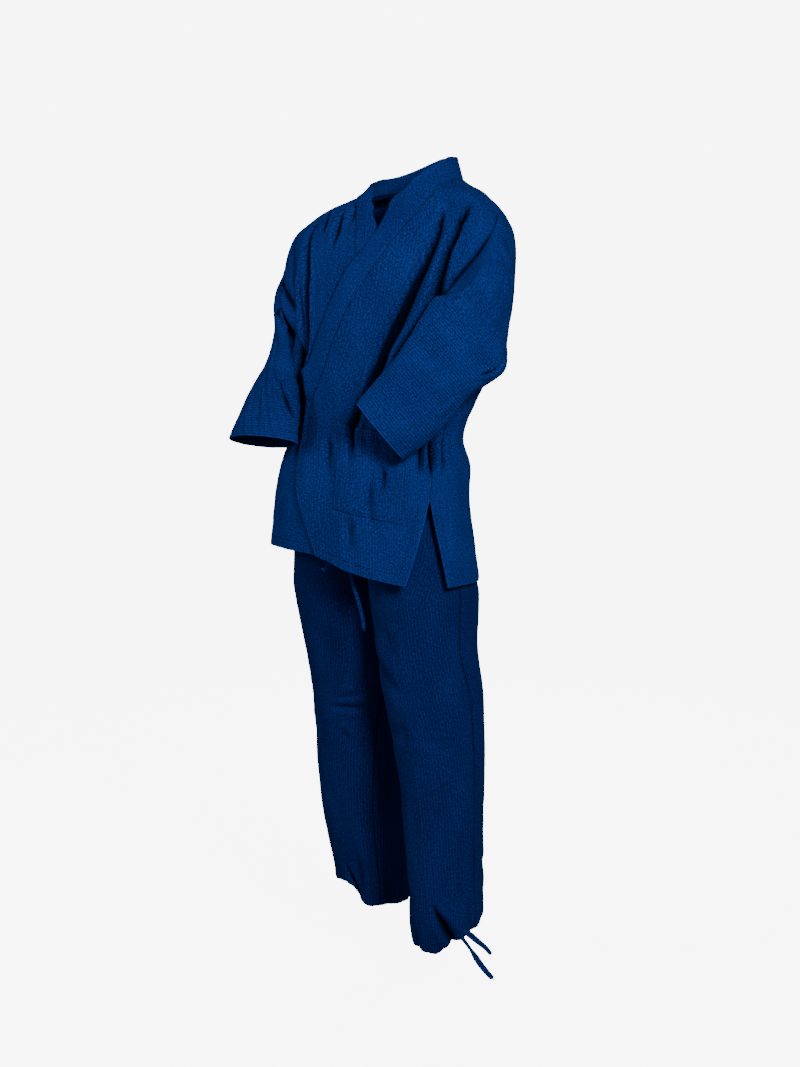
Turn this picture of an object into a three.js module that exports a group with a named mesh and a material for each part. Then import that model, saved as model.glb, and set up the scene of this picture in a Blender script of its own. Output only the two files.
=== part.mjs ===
// A samue: the wrapped cotton jacket and the drawstring trousers of Japanese work dress,
// in the hollow form they take when worn, arms bent and sleeves hanging in front.
//
// Millimetres. +Z is up, the garment faces -Y and the wearer's left is +X. Heights in the
// tables are above the floor the wearer stands on; the whole garment is then moved down
// so that the origin is the point where the shoulders and the neck carry it.
import * as THREE from "three";

// ---------- driving dimensions ----------
const SHOULDER_HEIGHT = 1500; // floor to the base of the neck, where the jacket is carried
const CLOTH = 1.6;            // wall of every cotton panel
const SEAM = 0.3;             // gap between two pieces that are sewn together
const LAP = 4.5;              // how far the left front stands off where it laps over
const UNDERLAP = 7;           // how far the right front is pressed in beneath it
const HEM_HEIGHT = 775;       // jacket hem at the wearer's left side
const SLIT_TOP = 935;         // top of the side slits
const SLIT_SPREAD = 14;       // degrees each slit edge has swung away at the hem
const BAND_END = 1105;        // lower end of the collar band, just above the tie
const NECK_SEAM = 1512;       // seam of the collar band around the back of the neck
const BAND_STAND = { left: 41, right: 29 }; // height of the collar band beside the neck
const RIGHT_DROP = 28;        // how much lower the right shoulder hangs, at the neck
const CROTCH = 748;           // height of the crotch point
const HIP_BLEND = 120;        // height over which the two legs join into one hip
const TROUSER_TOP = 1060;     // seam of the waistband
const WAISTBAND = 34;         // height of the waistband
const STRAP = 20;             // width of the jacket's tie straps
const CORD = 7;               // width of the drawstring
const ANKLE_TAPE = 9;         // width of the ankle ties

const COLOURS = { jacket: "#0d3567", trousers: "#06224a", tape: "#0a1c38" };

// ---------- small tools ----------
const rad = THREE.MathUtils.degToRad;
const mix = THREE.MathUtils.lerp;
const clamp = THREE.MathUtils.clamp;
const power = (x, p) => Math.sign(x) * Math.abs(x) ** p;

/** 0 below a, 1 above b, and an easy curve between. */
function ease(x, a, b) {
  const t = clamp((x - a) / (b - a), 0, 1);
  return t * t * (3 - 2 * t);
}

/** Rows of numbers as a smooth function of their first column. */
function profile(names, rows) {
  const keys = rows.map((row) => row[0]);
  const slope = (i, c) => (rows[i + 1][c] - rows[i][c]) / (keys[i + 1] - keys[i]);
  const tangent = (i, c) => {
    if (i === 0) return slope(0, c);
    if (i === rows.length - 1) return slope(i - 1, c);
    const before = slope(i - 1, c);
    const after = slope(i, c);
    if (before * after <= 0) return 0;
    const h0 = keys[i] - keys[i - 1];
    const h1 = keys[i + 1] - keys[i];
    return (before * h1 + after * h0) / (h0 + h1);
  };
  return (key) => {
    let i = 0;
    while (i < rows.length - 2 && key > keys[i + 1]) i += 1;
    const h = keys[i + 1] - keys[i];
    const t = clamp((key - keys[i]) / h, 0, 1);
    const found = {};
    names.split(" ").forEach((name, n) => {
      const c = n + 1;
      found[name] = rows[i][c] * (1 + 2 * t) * (1 - t) ** 2
        + tangent(i, c) * h * t * (1 - t) ** 2
        + rows[i + 1][c] * t * t * (3 - 2 * t)
        + tangent(i + 1, c) * h * t * t * (t - 1);
    });
    return found;
  };
}

/** Closed oval at height z: angle 0 is its front, 90 the wearer's left. */
function ovalPoint(row, angle, z, lift) {
  const s = Math.sin(rad(angle));
  const c = Math.cos(rad(angle));
  const across = (row.wide + lift) * power(s, 2 / row.square);
  const ahead = ((c > 0 ? row.front : row.back) + lift) * power(c, 2 / row.square);
  const turn = rad(row.turn);
  return new THREE.Vector3(
    row.x + across * Math.cos(turn) + ahead * Math.sin(turn),
    row.y + across * Math.sin(turn) - ahead * Math.cos(turn),
    z,
  );
}

/** How far a set of folds presses the cloth in at (u, v); u and v are scaled to mm. */
function foldDepth(folds, u, v, uScale, vScale) {
  let depth = 0;
  for (const [u0, v0, u1, v1, width, deep] of folds) {
    const ax = (u1 - u0) * uScale;
    const ay = (v1 - v0) * vScale;
    const px = (u - u0) * uScale;
    const py = (v - v0) * vScale;
    const t = clamp((px * ax + py * ay) / (ax * ax + ay * ay), 0, 1);
    const off = Math.hypot(px - ax * t, py - ay * t);
    depth += deep * Math.exp(-((off / width) ** 2)) * (1 - Math.abs(2 * t - 1) ** 3);
  }
  return depth;
}

/** Outward normal of form(u, v), from points a short step either side. */
function normalOf(form, u, v, du, dv) {
  const along = form(u + du, v).sub(form(u - du, v));
  const up = form(u, v + dv).sub(form(u, v - dv));
  return along.cross(up).normalize();
}

/**
 * A cloth wall through a grid of cells. node(i, j) gives {at, out}: the middle of the
 * wall and its outward direction. Columns i close on themselves when wrap is set.
 */
function wall(name, colour, columns, rows, node, { wrap = false, thick = CLOTH } = {}) {
  const across = wrap ? columns : columns + 1;
  const points = [];
  for (const side of [1, -1]) {
    for (let j = 0; j <= rows; j += 1) {
      for (let i = 0; i < across; i += 1) {
        const { at, out } = node(i, j);
        points.push(at.clone().addScaledVector(out, (side * thick) / 2));
      }
    }
  }
  const id = (side, i, j) => side * across * (rows + 1) + j * across + (i % across);
  const faces = [];
  const quad = (a, b, c, d) => faces.push([a, b, c], [a, c, d]);
  for (let j = 0; j < rows; j += 1) {
    for (let i = 0; i < columns; i += 1) {
      quad(id(0, i, j), id(0, i + 1, j), id(0, i + 1, j + 1), id(0, i, j + 1));
      quad(id(1, i, j), id(1, i, j + 1), id(1, i + 1, j + 1), id(1, i + 1, j));
    }
  }
  for (let i = 0; i < columns; i += 1) {
    quad(id(0, i, 0), id(1, i, 0), id(1, i + 1, 0), id(0, i + 1, 0));
    quad(id(0, i, rows), id(0, i + 1, rows), id(1, i + 1, rows), id(1, i, rows));
  }
  for (let j = 0; j < rows && !wrap; j += 1) {
    quad(id(0, 0, j), id(0, 0, j + 1), id(1, 0, j + 1), id(1, 0, j));
    quad(id(0, columns, j), id(1, columns, j), id(1, columns, j + 1), id(0, columns, j + 1));
  }
  return solid(name, colour, points, faces);
}

/** A named mesh from points and triangles, turned so that its faces point out. */
function solid(name, colour, points, faces) {
  let volume = 0;
  for (const [a, b, c] of faces) {
    volume += points[a].dot(points[b].clone().cross(points[c]));
  }
  const index = faces.flatMap((face) => (volume < 0 ? [face[0], face[2], face[1]] : face));
  const geometry = new THREE.BufferGeometry();
  geometry.setAttribute("position", new THREE.Float32BufferAttribute(
    points.flatMap((p) => [p.x, p.y, p.z]), 3));
  geometry.setIndex(index);
  geometry.computeVertexNormals();
  return meshOf(name, colour, geometry);
}

function meshOf(name, colour, geometry) {
  const material = new THREE.MeshStandardMaterial({ color: colour, roughness: 0.92, metalness: 0 });
  const mesh = new THREE.Mesh(geometry, material);
  mesh.name = name;
  return mesh;
}

// ---------- the form of the jacket ----------
// Sections of the jacket round the body, from the hem to the top of the collar.
const BODY = profile("wide front back x y turn square", [
  [760, 222, 156, 154, -46, -66, 0, 2.2],
  [850, 213, 148, 142, -46, -66, 0, 2.2],
  [930, 204, 142, 134, -46, -65, 0, 2.2],
  [985, 198, 132, 135, -43, -62, 0, 2.2],
  [1040, 183, 120, 111, -43, -55, 0, 2.2],
  [1100, 191, 122, 126, -37, -47, 1, 2.2],
  [1155, 206, 134, 140, -32, -38, 2, 2.2],
  [1230, 226, 138, 152, -24, -32, 4, 2.25],
  [1330, 234, 128, 144, -20, -25, 5, 2.3],
  [1400, 232, 104, 126, -17, -18, 5, 2.3],
  [1434, 220, 90, 112, -14, -13, 5, 2.2],
  [1452, 206, 84, 102, -13, -10, 5, 2.15],
  [1472, 183, 80, 94, -13, -7, 5, 2.1],
  [1490, 144, 79, 89, 0, -5, 4, 2.1],
  [1503, 107, 78, 86, 4, -3, 3, 2.1],
  [1514, 90, 77, 84, 3, -2, 3, 2.1],
  [1530, 82, 76, 81, 2, 0, 2, 2.0],
  [1570, 77, 74, 78, 0, 0, 2, 2.0],
]);

// How far the hem rises above HEM_HEIGHT around the body.
const HEM_RISE = profile("rise", [
  [-180, 6], [-110, 30], [-60, 50], [-6, 52], [20, 26], [50, 6], [80, 0], [180, 6],
]);

// Where the side seams stand, in degrees from the front.
const SIDE_SEAM = profile("angle", [[775, 65], [935, 69], [1040, 71], [1150, 76]]);

// The front edge of each front below the band, in degrees towards the other side.
const FRONT_EDGE = profile("angle", [
  [775, 0], [828, 6], [940, 17], [1014, 25], [1060, 31], [1100, 31],
]);

// The collar band on each side, from the tie to the shoulder, by the height of its sewn
// edge: the angle of that edge, the angle of the free edge and how much higher that lies.
// Angles run from the front centre towards the band's own side.
const BAND = {
  left: profile("sewn free rise", [
    [1105, -20, -31.5, 1],
    [1122, -17, -29, 15],
    [1162, -10.5, -20.5, 18],
    [1194, -8, -17, 17],
    [1241, -4, -12, 16],
    [1301, 1, -6.5, 17],
    [1341, 4.5, -3, 18],
    [1374, 8, 0.5, 19],
    [1400, 11, 2.5, 21],
    [1425, 15, 5, 28],
    [1450, 22, 9, 31],
    [1478, 34, 22, 22],
    [1498, 50, 40, 20],
    [1507, 68, 60, 28],
    [1512, 90, 88, 41],
  ]),
  right: profile("sewn free rise", [
    [1105, -20, -31.5, 1],
    [1175, -12, -24, 7],
    [1249, -6, -16, 8],
    [1305, -2, -11, 12],
    [1362, 1, -6, 15],
    [1389, 4.5, -2.5, 18],
    [1416, 7.5, -0.5, 15],
    [1441, 12, 3, 10],
    [1466, 18, 6, 5],
    [1480, 26, 14, 11],
    [1497, 48, 43, 22],
    [1505, 72, 68, 27],
    [1512, 90, 88, 29],
  ]),
};

// Main folds of the jacket body: from (angle, height) to (angle, height), width, depth.
const BODY_FOLDS = [
  [41, 1443, 17, 1140, 16, 12],
  [80, 1468, 44, 1330, 13, 9],
  [-40, 1425, -28, 1150, 11, 8],
  [66, 1085, 64, 985, 11, 7],
  [84, 1080, 86, 1000, 12, 6],
  [10, 1098, 12, 1000, 12, 6],
  [150, 1420, 118, 1180, 16, 9],
  [-150, 1420, -118, 1180, 16, 9],
  [165, 1120, 160, 960, 14, 6],
  [-158, 1120, -164, 960, 14, 6],
  [-72, 1085, -70, 990, 12, 6],
];
const BODY_MM_PER_DEGREE = 3.3;

// The two armholes. top and bottom are heights; front and back are the degrees by which
// the seam runs in from the side; skew above 1 puts the deepest point of the front low.
const ARMHOLES = {
  left: { sign: 1, top: 1450, bottom: 1150, front: 42, back: 38, skew: 1.5 },
  right: { sign: -1, top: 1450, bottom: 1150, front: 46, back: 38, skew: 1.2 },
};

/** How far the wearer's right shoulder hangs below the left one. */
function drop(angle, height) {
  const side = Math.max(-Math.sin(rad(angle)), 0);
  return RIGHT_DROP * side ** 1.3 * ease(height, 1380, 1500);
}

/** Point of the jacket body at an angle and height; lift is a distance outward. */
function body(angle, height, lift = 0) {
  return ovalPoint(BODY(height), angle, height - drop(angle, height), lift);
}

/** How far each front lies off the body's form: the left one laps over the right one. */
const lapLift = {
  left: (angle) => LAP * (1 - ease(angle, 18, 44)),
  right: (angle) => -UNDERLAP * ease(angle, -48, -30),
};

/** Wall node of the body at (angle, z), with the folds pressed in. */
function bodyNode(angle, z, lift = 0) {
  const form = (u, v) => body(u, v, lift);
  const out = normalOf(form, angle, z, 0.5, 2);
  const deep = foldDepth(BODY_FOLDS, angle, z, BODY_MM_PER_DEGREE, 1);
  return { at: form(angle, z).addScaledVector(out, -deep), out };
}

/** Angle and height on an armhole; turn 0 is its top, 90 its front, 180 its bottom. */
function armholeSpot(arm, turn) {
  const t = ((turn % 360) + 360) % 360;
  const half = (t <= 180 ? t : 360 - t) / 180;
  const z = mix(arm.bottom, arm.top, (1 + Math.cos(rad(t))) / 2);
  const base = mix(90, SIDE_SEAM(arm.bottom).angle, (1 - Math.cos(rad(t))) / 2);
  const angle = t <= 180
    ? base - arm.front * Math.sin(Math.PI * half ** arm.skew) ** 1.2
    : base + arm.back * Math.sin(Math.PI * half);
  return { angle: arm.sign * angle, z };
}

// The pocket's edges: the heights of its bottom and top at each end, and the columns of
// the left front on which its two sides stand, at the bottom and at the top.
const POCKET = { bottom: [902, 890], top: [1067, 1048], left: [3.05, 3.67], right: [8.8, 8.4] };

// Rows of every body panel: up the side, along the armhole, along the shoulder.
const ROWS = { side: 11, arm: 10, shoulder: 3 };
const ROW_COUNT = ROWS.side + ROWS.arm + ROWS.shoulder;
const FRONT_COLUMNS = 11;
const BACK_COLUMNS = 14;

/** Height of side row k. The two rows below the armhole lie either side of the band's end. */
function sideHeight(arm, k) {
  if (k === ROWS.side) return arm.bottom;
  if (k === ROWS.side - 1) return BAND_END + SEAM;
  return mix(HEM_HEIGHT, BAND_END - SEAM, k / (ROWS.side - 2));
}

/** Angle and height of row k at the side, armhole or shoulder of a front (1) or back (-1). */
function outerSpot(arm, k, face) {
  const gap = (face * SEAM) / 2 / BODY_MM_PER_DEGREE;
  if (k <= ROWS.side) {
    const z = sideHeight(arm, k);
    const spread = SLIT_SPREAD * clamp((SLIT_TOP - z) / (SLIT_TOP - HEM_HEIGHT), 0, 1);
    return { angle: arm.sign * (SIDE_SEAM(z).angle - face * spread - gap), z };
  }
  if (k < ROWS.side + ROWS.arm) {
    const turn = 180 - (180 * (k - ROWS.side)) / ROWS.arm;
    const spot = armholeSpot(arm, face > 0 ? turn : 360 - turn);
    return { angle: spot.angle, z: spot.z };
  }
  const t = (k - ROWS.side - ROWS.arm) / ROWS.shoulder;
  return { angle: arm.sign * (90 - gap), z: mix(arm.top, NECK_SEAM, t) };
}

/** Height of row k where a front meets the collar band: closer together near the neck. */
function innerHeight(arm, k) {
  if (k <= ROWS.side) return outerSpot(arm, k, 1).z;
  const t = (k - ROWS.side) / (ROWS.arm + ROWS.shoulder);
  return mix(arm.bottom, NECK_SEAM - 3, 1 - (1 - t) ** 1.5);
}

/** The hem's rise, which fades out towards the waist. */
function raised(angle, z) {
  const turned = ((angle + 540) % 360) - 180;
  return z + HEM_RISE(turned).rise * (1 - ease(z, HEM_HEIGHT, HEM_HEIGHT + 210));
}

/** Wall node of a front at column i and row k, from its edge or the collar band outward. */
function frontNode(side, i, k) {
  const arm = ARMHOLES[side];
  const outer = outerSpot(arm, k, 1);
  const innerZ = innerHeight(arm, k);
  const edge = innerZ < BAND_END ? -FRONT_EDGE(innerZ).angle : BAND[side](innerZ).sewn;
  const inner = arm.sign * (edge + SEAM / BODY_MM_PER_DEGREE);
  const s = i / FRONT_COLUMNS;
  const angle = mix(inner, outer.angle, s);
  const z = mix(innerZ, outer.z, s);
  return bodyNode(angle, raised(angle, z), lapLift[side](angle));
}

/** One front, from its edge or the collar band to the side, the armhole and the shoulder. */
function front(side) {
  const node = (i, k) => frontNode(side, i, k);
  return wall(`front_${side}`, COLOURS.jacket, FRONT_COLUMNS, ROW_COUNT, node);
}

/** The back, in one piece from armhole to armhole. */
function back() {
  return wall("back", COLOURS.jacket, BACK_COLUMNS, ROW_COUNT, (i, k) => {
    const left = outerSpot(ARMHOLES.left, k, -1);
    const right = outerSpot(ARMHOLES.right, k, -1);
    const s = i / BACK_COLUMNS;
    const angle = mix(left.angle, right.angle + 360, s);
    return bodyNode(angle, raised(angle, mix(left.z, right.z, s)));
  });
}

/** The stations of one half of the collar band, from the tie to the side of the neck. */
function bandHalf(side) {
  const arm = ARMHOLES[side];
  const heights = [BAND_END + 2 * SEAM];
  for (let k = ROWS.side; k <= ROW_COUNT; k += 1) heights.push(innerHeight(arm, k));
  return heights.map((height) => {
    const row = BAND[side](height);
    const spot = (turn, z) => {
      const angle = arm.sign * turn;
      return { angle, z, lift: lapLift[side](angle) };
    };
    return { sewn: spot(row.sewn, height), free: spot(row.free, height + row.rise) };
  });
}

/** The collar band: up the left front, round the neck and down the right front. */
function collarBand() {
  const across = 2;
  const gap = SEAM / 2 / BODY_MM_PER_DEGREE;
  const left = bandHalf("left");
  const right = bandHalf("right").reverse();
  for (const { sewn, free } of right) {
    sewn.angle += 360;
    free.angle += 360;
  }
  const behind = [];
  for (let i = 0; i <= BACK_COLUMNS; i += 1) {
    const angle = mix(90, 270, i / BACK_COLUMNS);
    const stand = mix(BAND_STAND.left, BAND_STAND.right, ease(angle, 150, 260));
    behind.push({
      sewn: { angle, z: NECK_SEAM, lift: 0 },
      free: { angle, z: NECK_SEAM + stand, lift: 0 },
    });
  }
  const path = [...left, ...behind, ...right];
  return wall("collar_band", COLOURS.jacket, path.length - 1, across, (i, j) => {
    const { sewn, free } = path[i];
    const t = j / across;
    const shift = i < left.length ? -gap : i >= path.length - right.length ? gap : 0;
    const angle = mix(sewn.angle + shift, free.angle, t);
    const z = mix(sewn.z + SEAM * ease(sewn.z, NECK_SEAM - 80, NECK_SEAM - 8), free.z, t);
    return bodyNode(angle, z, mix(sewn.lift, free.lift, t));
  });
}

/** Point of the left front between its nodes, at a height between two of its rows. */
function onLeftFront(column, height) {
  const arm = ARMHOLES.left;
  let k = 0;
  while (height > sideHeight(arm, k + 1)) k += 1;
  const v = (height - sideHeight(arm, k)) / (sideHeight(arm, k + 1) - sideHeight(arm, k));
  const i = Math.floor(column);
  const u = column - i;
  const corner = (di, dk) => frontNode("left", i + di, k + dk);
  const [a, b, c, d] = [corner(0, 0), corner(1, 0), corner(1, 1), corner(0, 1)];
  const blend = (key) => {
    const point = a[key].clone();
    const first = u >= v ? b[key].clone().sub(a[key]) : d[key].clone().sub(a[key]);
    const second = u >= v ? c[key].clone().sub(b[key]) : c[key].clone().sub(d[key]);
    return point.addScaledVector(first, Math.max(u, v)).addScaledVector(second, Math.min(u, v));
  };
  return { at: blend("at"), out: blend("out").normalize() };
}

/** The patch pocket: the left front's own cells between the pocket's edges, moved out. */
function pocket() {
  const heights = [];
  for (let k = 0; k < ROWS.side; k += 1) {
    const height = sideHeight(ARMHOLES.left, k);
    if (height > POCKET.bottom[0] && height < POCKET.top[1]) heights.push(height);
  }
  const columns = 6;
  const rows = heights.length + 1;
  return wall("pocket_left", COLOURS.jacket, columns, rows, (i, j) => {
    const s = i / columns;
    const bottom = mix(...POCKET.bottom, s);
    const top = mix(...POCKET.top, s);
    const t = j / rows;
    const left = mix(...POCKET.left, t);
    const right = mix(...POCKET.right, t);
    const inner = Math.ceil(left) + i - 1;
    const column = i === 0 ? left : i === columns ? right : inner;
    const height = j === 0 ? bottom : j === rows ? top : heights[j - 1];
    const node = onLeftFront(column, height);
    node.at.addScaledVector(node.out, CLOTH + 2 * SEAM);
    return node;
  });
}

// ---------- sleeves ----------
// Sections from the armhole to the cuff. outer and inner are the two fold lines of the
// flattened tube: the elbow side and the crook side. deep is half its thickness; facing
// is the direction its front face looks, from straight ahead towards the left.
const SLEEVES = {
  left: [
    // outer x, y, z,   inner x, y, z,  deep, facing, tilt
    [212, -10, 1440, 200, -35, 1160, 60, 10, 0],
    [228, -5, 1390, 200, -88, 1262, 57, 15, 0],
    [237, -13, 1313, 182, -131, 1304, 54, 22, 0],
    [241, -20, 1225, 160, -156, 1268, 50, 30, 0],
    [243, -33, 1168, 134, -186, 1206, 46, 36, 0],
    [212, -90, 1126, 115, -199, 1180, 42, 40, 0],
    [164, -133, 1052, 87, -211, 1144, 38, 42, 0],
    [128, -174, 1013, 67, -229, 1112, 36, 42, 0],
  ],
  right: [
    [-222, -25, 1426, -205, -62, 1160, 54, 38, 0],
    [-238, -22, 1390, -188, -110, 1186, 56, 38, 0],
    [-270, -40, 1344, -172, -128, 1188, 54, 34, 0],
    [-278, -68, 1286, -156, -149, 1178, 49, 31, 0],
    [-256, -77, 1219, -144, -170, 1156, 44, 30, 0],
    [-250, -108, 1164, -130, -195, 1128, 40, 32, 0],
    [-272, -154, 1098, -116, -208, 1080, 38, 32, 10],
    [-276, -207, 1022, -107, -211, 1031, 38, 30, 20],
  ],
};

// Sleeve folds: from (turn, along) to (turn, along), width, depth.
const SLEEVE_FOLDS = {
  left: [
    [150, 0.3, 60, 0.5, 14, 6],
    [300, 0.25, 250, 0.5, 16, 8],
    [320, 0.4, 270, 0.62, 15, 7],
  ],
  right: [
    [60, 0.28, 140, 0.46, 13, 9],
    [60, 0.45, 150, 0.6, 13, 9],
    [70, 0.72, 140, 0.84, 12, 6],
    [300, 0.3, 240, 0.55, 15, 7],
  ],
};
const SLEEVE_MM_PER_DEGREE = 1.5;
const SLEEVE_LENGTH = 420;
const ARMHOLE_BLEND = 0.16; // share of the sleeve that leads from the seam to its tube
// How far a sleeve stays off the body: low down, where the right one hangs over the tie,
// and higher up.
const SLEEVE_CLEAR = { left: { low: 4, high: 4 }, right: { low: 8, high: 5 } };

/** A row between the rows of a list, at t from 0 to 1, on a smooth curve through them. */
function between(rows, t) {
  const q = clamp(t, 0, 1) * (rows.length - 1);
  const i = Math.min(Math.floor(q), rows.length - 2);
  const f = q - i;
  const a = rows[Math.max(i - 1, 0)];
  const b = rows[i];
  const c = rows[i + 1];
  const d = rows[Math.min(i + 2, rows.length - 1)];
  return b.map((value, n) => 0.5 * (2 * value + (c[n] - a[n]) * f
    + (2 * a[n] - 5 * value + 4 * c[n] - d[n]) * f * f
    + (3 * value - a[n] - 3 * c[n] + d[n]) * f ** 3));
}

/** Point of a sleeve; turn as on the armhole, along runs from 0 at its seam to the cuff. */
function sleevePoint(side, turn, along) {
  const arm = ARMHOLES[side];
  const row = between(SLEEVES[side], along);
  const outer = new THREE.Vector3(row[0], row[1], row[2]);
  const inner = new THREE.Vector3(row[3], row[4], row[5]);
  const middle = outer.clone().add(inner).multiplyScalar(0.5);
  const major = outer.clone().sub(inner).multiplyScalar(0.5);
  const facing = rad(row[7]);
  const tilt = rad(row[8]);
  const minor = new THREE.Vector3(
    Math.sin(facing) * Math.cos(tilt), -Math.cos(facing) * Math.cos(tilt), Math.sin(tilt));
  minor.addScaledVector(major, -minor.dot(major) / major.lengthSq()).normalize();
  const tube = middle.addScaledVector(major, Math.cos(rad(turn)))
    .addScaledVector(minor, row[6] * Math.sin(rad(turn)));
  const spot = armholeSpot(arm, turn);
  const heart = body(arm.sign * 85, (arm.top + arm.bottom) / 2);
  const seam = body(spot.angle, spot.z);
  seam.addScaledVector(heart.sub(seam).normalize(), 3 * SEAM + CLOTH / 2);
  return offBody(seam.lerp(tube, ease(along, 0, ARMHOLE_BLEND)), SLEEVE_CLEAR[side], along);
}

/** A sleeve point moved straight out from the body where it would lie in it or on it. */
function offBody(point, clear, along) {
  const row = BODY(point.z);
  const turn = rad(row.turn);
  const dx = point.x - row.x;
  const dy = point.y - row.y;
  const across = dx * Math.cos(turn) + dy * Math.sin(turn);
  const ahead = dx * Math.sin(turn) - dy * Math.cos(turn);
  const angle = THREE.MathUtils.radToDeg(Math.atan2(across, ahead));
  const level = BODY(point.z + drop(angle, point.z));
  const depth = ahead > 0 ? level.front : level.back;
  const ratio = ((Math.abs(across) / level.wide) ** level.square
    + (Math.abs(ahead) / depth) ** level.square) ** (1 / level.square);
  const radius = Math.hypot(across, ahead);
  const gap = radius - radius / ratio;
  const off = mix(clear.low, clear.high, ease(point.z, 1150, 1230));
  const wanted = (off + lapLift.left(angle)) * ease(along, 0, 0.15);
  const soft = 5 * ease(along, 0, 0.12);
  const eased = (gap + wanted) / 2 + Math.sqrt(((gap - wanted) / 2) ** 2 + soft ** 2);
  const push = (eased - gap) / radius;
  point.x += dx * push;
  point.y += dy * push;
  return point;
}

/** One sleeve, from the armhole seam to the cuff. */
function sleeve(name, side) {
  const around = ROWS.arm * 2;
  const rows = 10;
  const form = (u, v) => sleevePoint(side, u, v);
  return wall(name, COLOURS.jacket, around, rows, (i, j) => {
    const turn = (360 * i) / around;
    const along = j / rows;
    const out = normalOf(form, turn, clamp(along, 0.015, 0.99), 2, 0.01);
    out.multiplyScalar(ARMHOLES[side].sign);
    const deep = foldDepth(SLEEVE_FOLDS[side], turn, along, SLEEVE_MM_PER_DEGREE, SLEEVE_LENGTH);
    return { at: form(turn, along).addScaledVector(out, -deep), out };
  }, { wrap: true });
}

// ---------- trousers ----------
// Sections of the hips, which both legs share, from the crotch up to the waistband.
const HIP = profile("wide front back x y turn square", [
  [748, 190, 132, 108, -38, -47, 0, 2.1],
  [800, 190, 132, 110, -38, -47, 0, 2.1],
  [850, 188, 130, 109, -38, -48, 0, 2.1],
  [930, 178, 116, 102, -38, -50, 0, 2.1],
  [1040, 158, 92, 96, -35, -52, 0, 2.1],
  [1100, 158, 92, 96, -35, -52, 0, 2.1],
]);

// Sections of the two legs, from below the ankle tie up to the crotch.
const LEG = {
  left: profile("wide front back x y turn square", [
    [50, 57, 60, 58, 125, -45, 10, 2],
    [84, 63, 66, 62, 124, -45, 10, 2],
    [110, 66, 71, 67, 123, -44, 10, 2],
    [190, 67, 75, 74, 117, -41, 10, 2],
    [300, 72, 80, 80, 107, -36, 10, 2],
    [400, 79, 88, 87, 98, -31, 8, 2],
    [500, 85, 96, 95, 88, -33, 8, 2],
    [580, 92, 100, 100, 78, -37, 4, 2],
    [650, 90, 100, 100, 70, -42, 0, 2],
    [748, 98, 109, 106.5, 63, -42, 0, 2],
  ]),
  right: profile("wide front back x y turn square", [
    [70, 66, 64, 78, -154, 50, -34, 2],
    [110, 70, 68, 80, -154, 49, -34, 2],
    [164, 69, 70, 82, -153, 44, -34, 2],
    [218, 73, 74, 84, -152, 34, -34, 2],
    [296, 77, 80, 86, -150, 21, -34, 2],
    [348, 81, 84, 88, -148, 16, -32, 2],
    [460, 88, 90, 90, -144, 10, -28, 2],
    [544, 94, 96, 96, -141, 4, -20, 2],
    [610, 94, 98, 98, -138, -12, -8, 2],
    [748, 98, 109, 105, -133, -42, 0, 2],
  ]),
};

// The height of the leg hems round the ankle, by the angle on the leg's own sections.
const LEG_HEM = {
  left: profile("height", [
    [-180, 120], [-90, 98], [-58, 91], [-10, 84], [12, 83], [30, 98], [50, 110], [80, 124],
    [122, 137], [180, 120],
  ]),
  right: profile("height", [
    [-180, 112], [-120, 124], [-86, 134], [-40, 140], [-8, 143], [20, 147], [34, 147],
    [45, 137], [54, 114], [62, 106], [82, 103], [157, 106], [180, 112],
  ]),
};

// Main folds of the legs: from (angle, height) to (angle, height), width, depth.
const LEG_FOLDS = {
  left: [
    [-60, 640, 10, 560, 20, 7],
    [-70, 470, 0, 520, 18, 5],
    [10, 156, 40, 98, 12, 12],
    [120, 420, 170, 470, 20, 8],
    [110, 500, 180, 480, 20, 7],
    [-80, 200, -30, 160, 16, 5],
  ],
  right: [
    [-60, 480, 20, 455, 18, 8],
    [-20, 440, 40, 425, 16, 6],
    [-110, 410, -170, 460, 20, 8],
    [-110, 500, -180, 470, 20, 7],
    [24, 200, 34, 130, 14, 7],
    [-90, 190, -40, 150, 16, 6],
  ],
};
const LEG_MM_PER_DEGREE = 1.4;
const LEG_SIDE = 85; // the outer seam of a leg, in degrees from its front
const LEG_ROWS = { leg: 11, crotch: 5, hip: 2 };
const CROTCH_PART = CLOTH / 2 + SEAM; // how far each leg stands off the crotch point

/** Share of the hip in a leg panel: none below the crotch, all of it above the blend. */
function hipShare(z) {
  return ease(z, CROTCH, CROTCH + HIP_BLEND) ** 0.7;
}

/** Point of a leg panel; across runs from the inner edge (0) to the outer seam (1). */
function legPoint(side, face, across, z) {
  const sign = side === "left" ? 1 : -1;
  const legAngle = face > 0 ? mix(-90, LEG_SIDE, across) : mix(270, LEG_SIDE, across);
  const hipAngle = face > 0 ? mix(0, LEG_SIDE, across) : mix(180, LEG_SIDE, across);
  const share = hipShare(z);
  const leg = ovalPoint(LEG[side](z), sign * legAngle, z, 0);
  const hip = ovalPoint(HIP(z), sign * hipAngle, z, 0);
  leg.x += sign * CROTCH_PART * (1 - across);
  hip.x += (sign * SEAM * (1 - across)) / 2;
  return leg.lerp(hip, share);
}

/** Height of a row of the leg panels, at an angle round the ankle. */
function legHeight(side, angle, j) {
  const { leg, crotch, hip } = LEG_ROWS;
  const turned = ((angle + 540) % 360) - 180;
  if (j <= leg) return mix(LEG_HEM[side](turned).height, CROTCH, (j / leg) ** 1.15);
  if (j <= leg + crotch) return CROTCH + (HIP_BLEND * (j - leg)) / crotch;
  return mix(CROTCH + HIP_BLEND, TROUSER_TOP, (j - leg - crotch) / hip);
}

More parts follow.
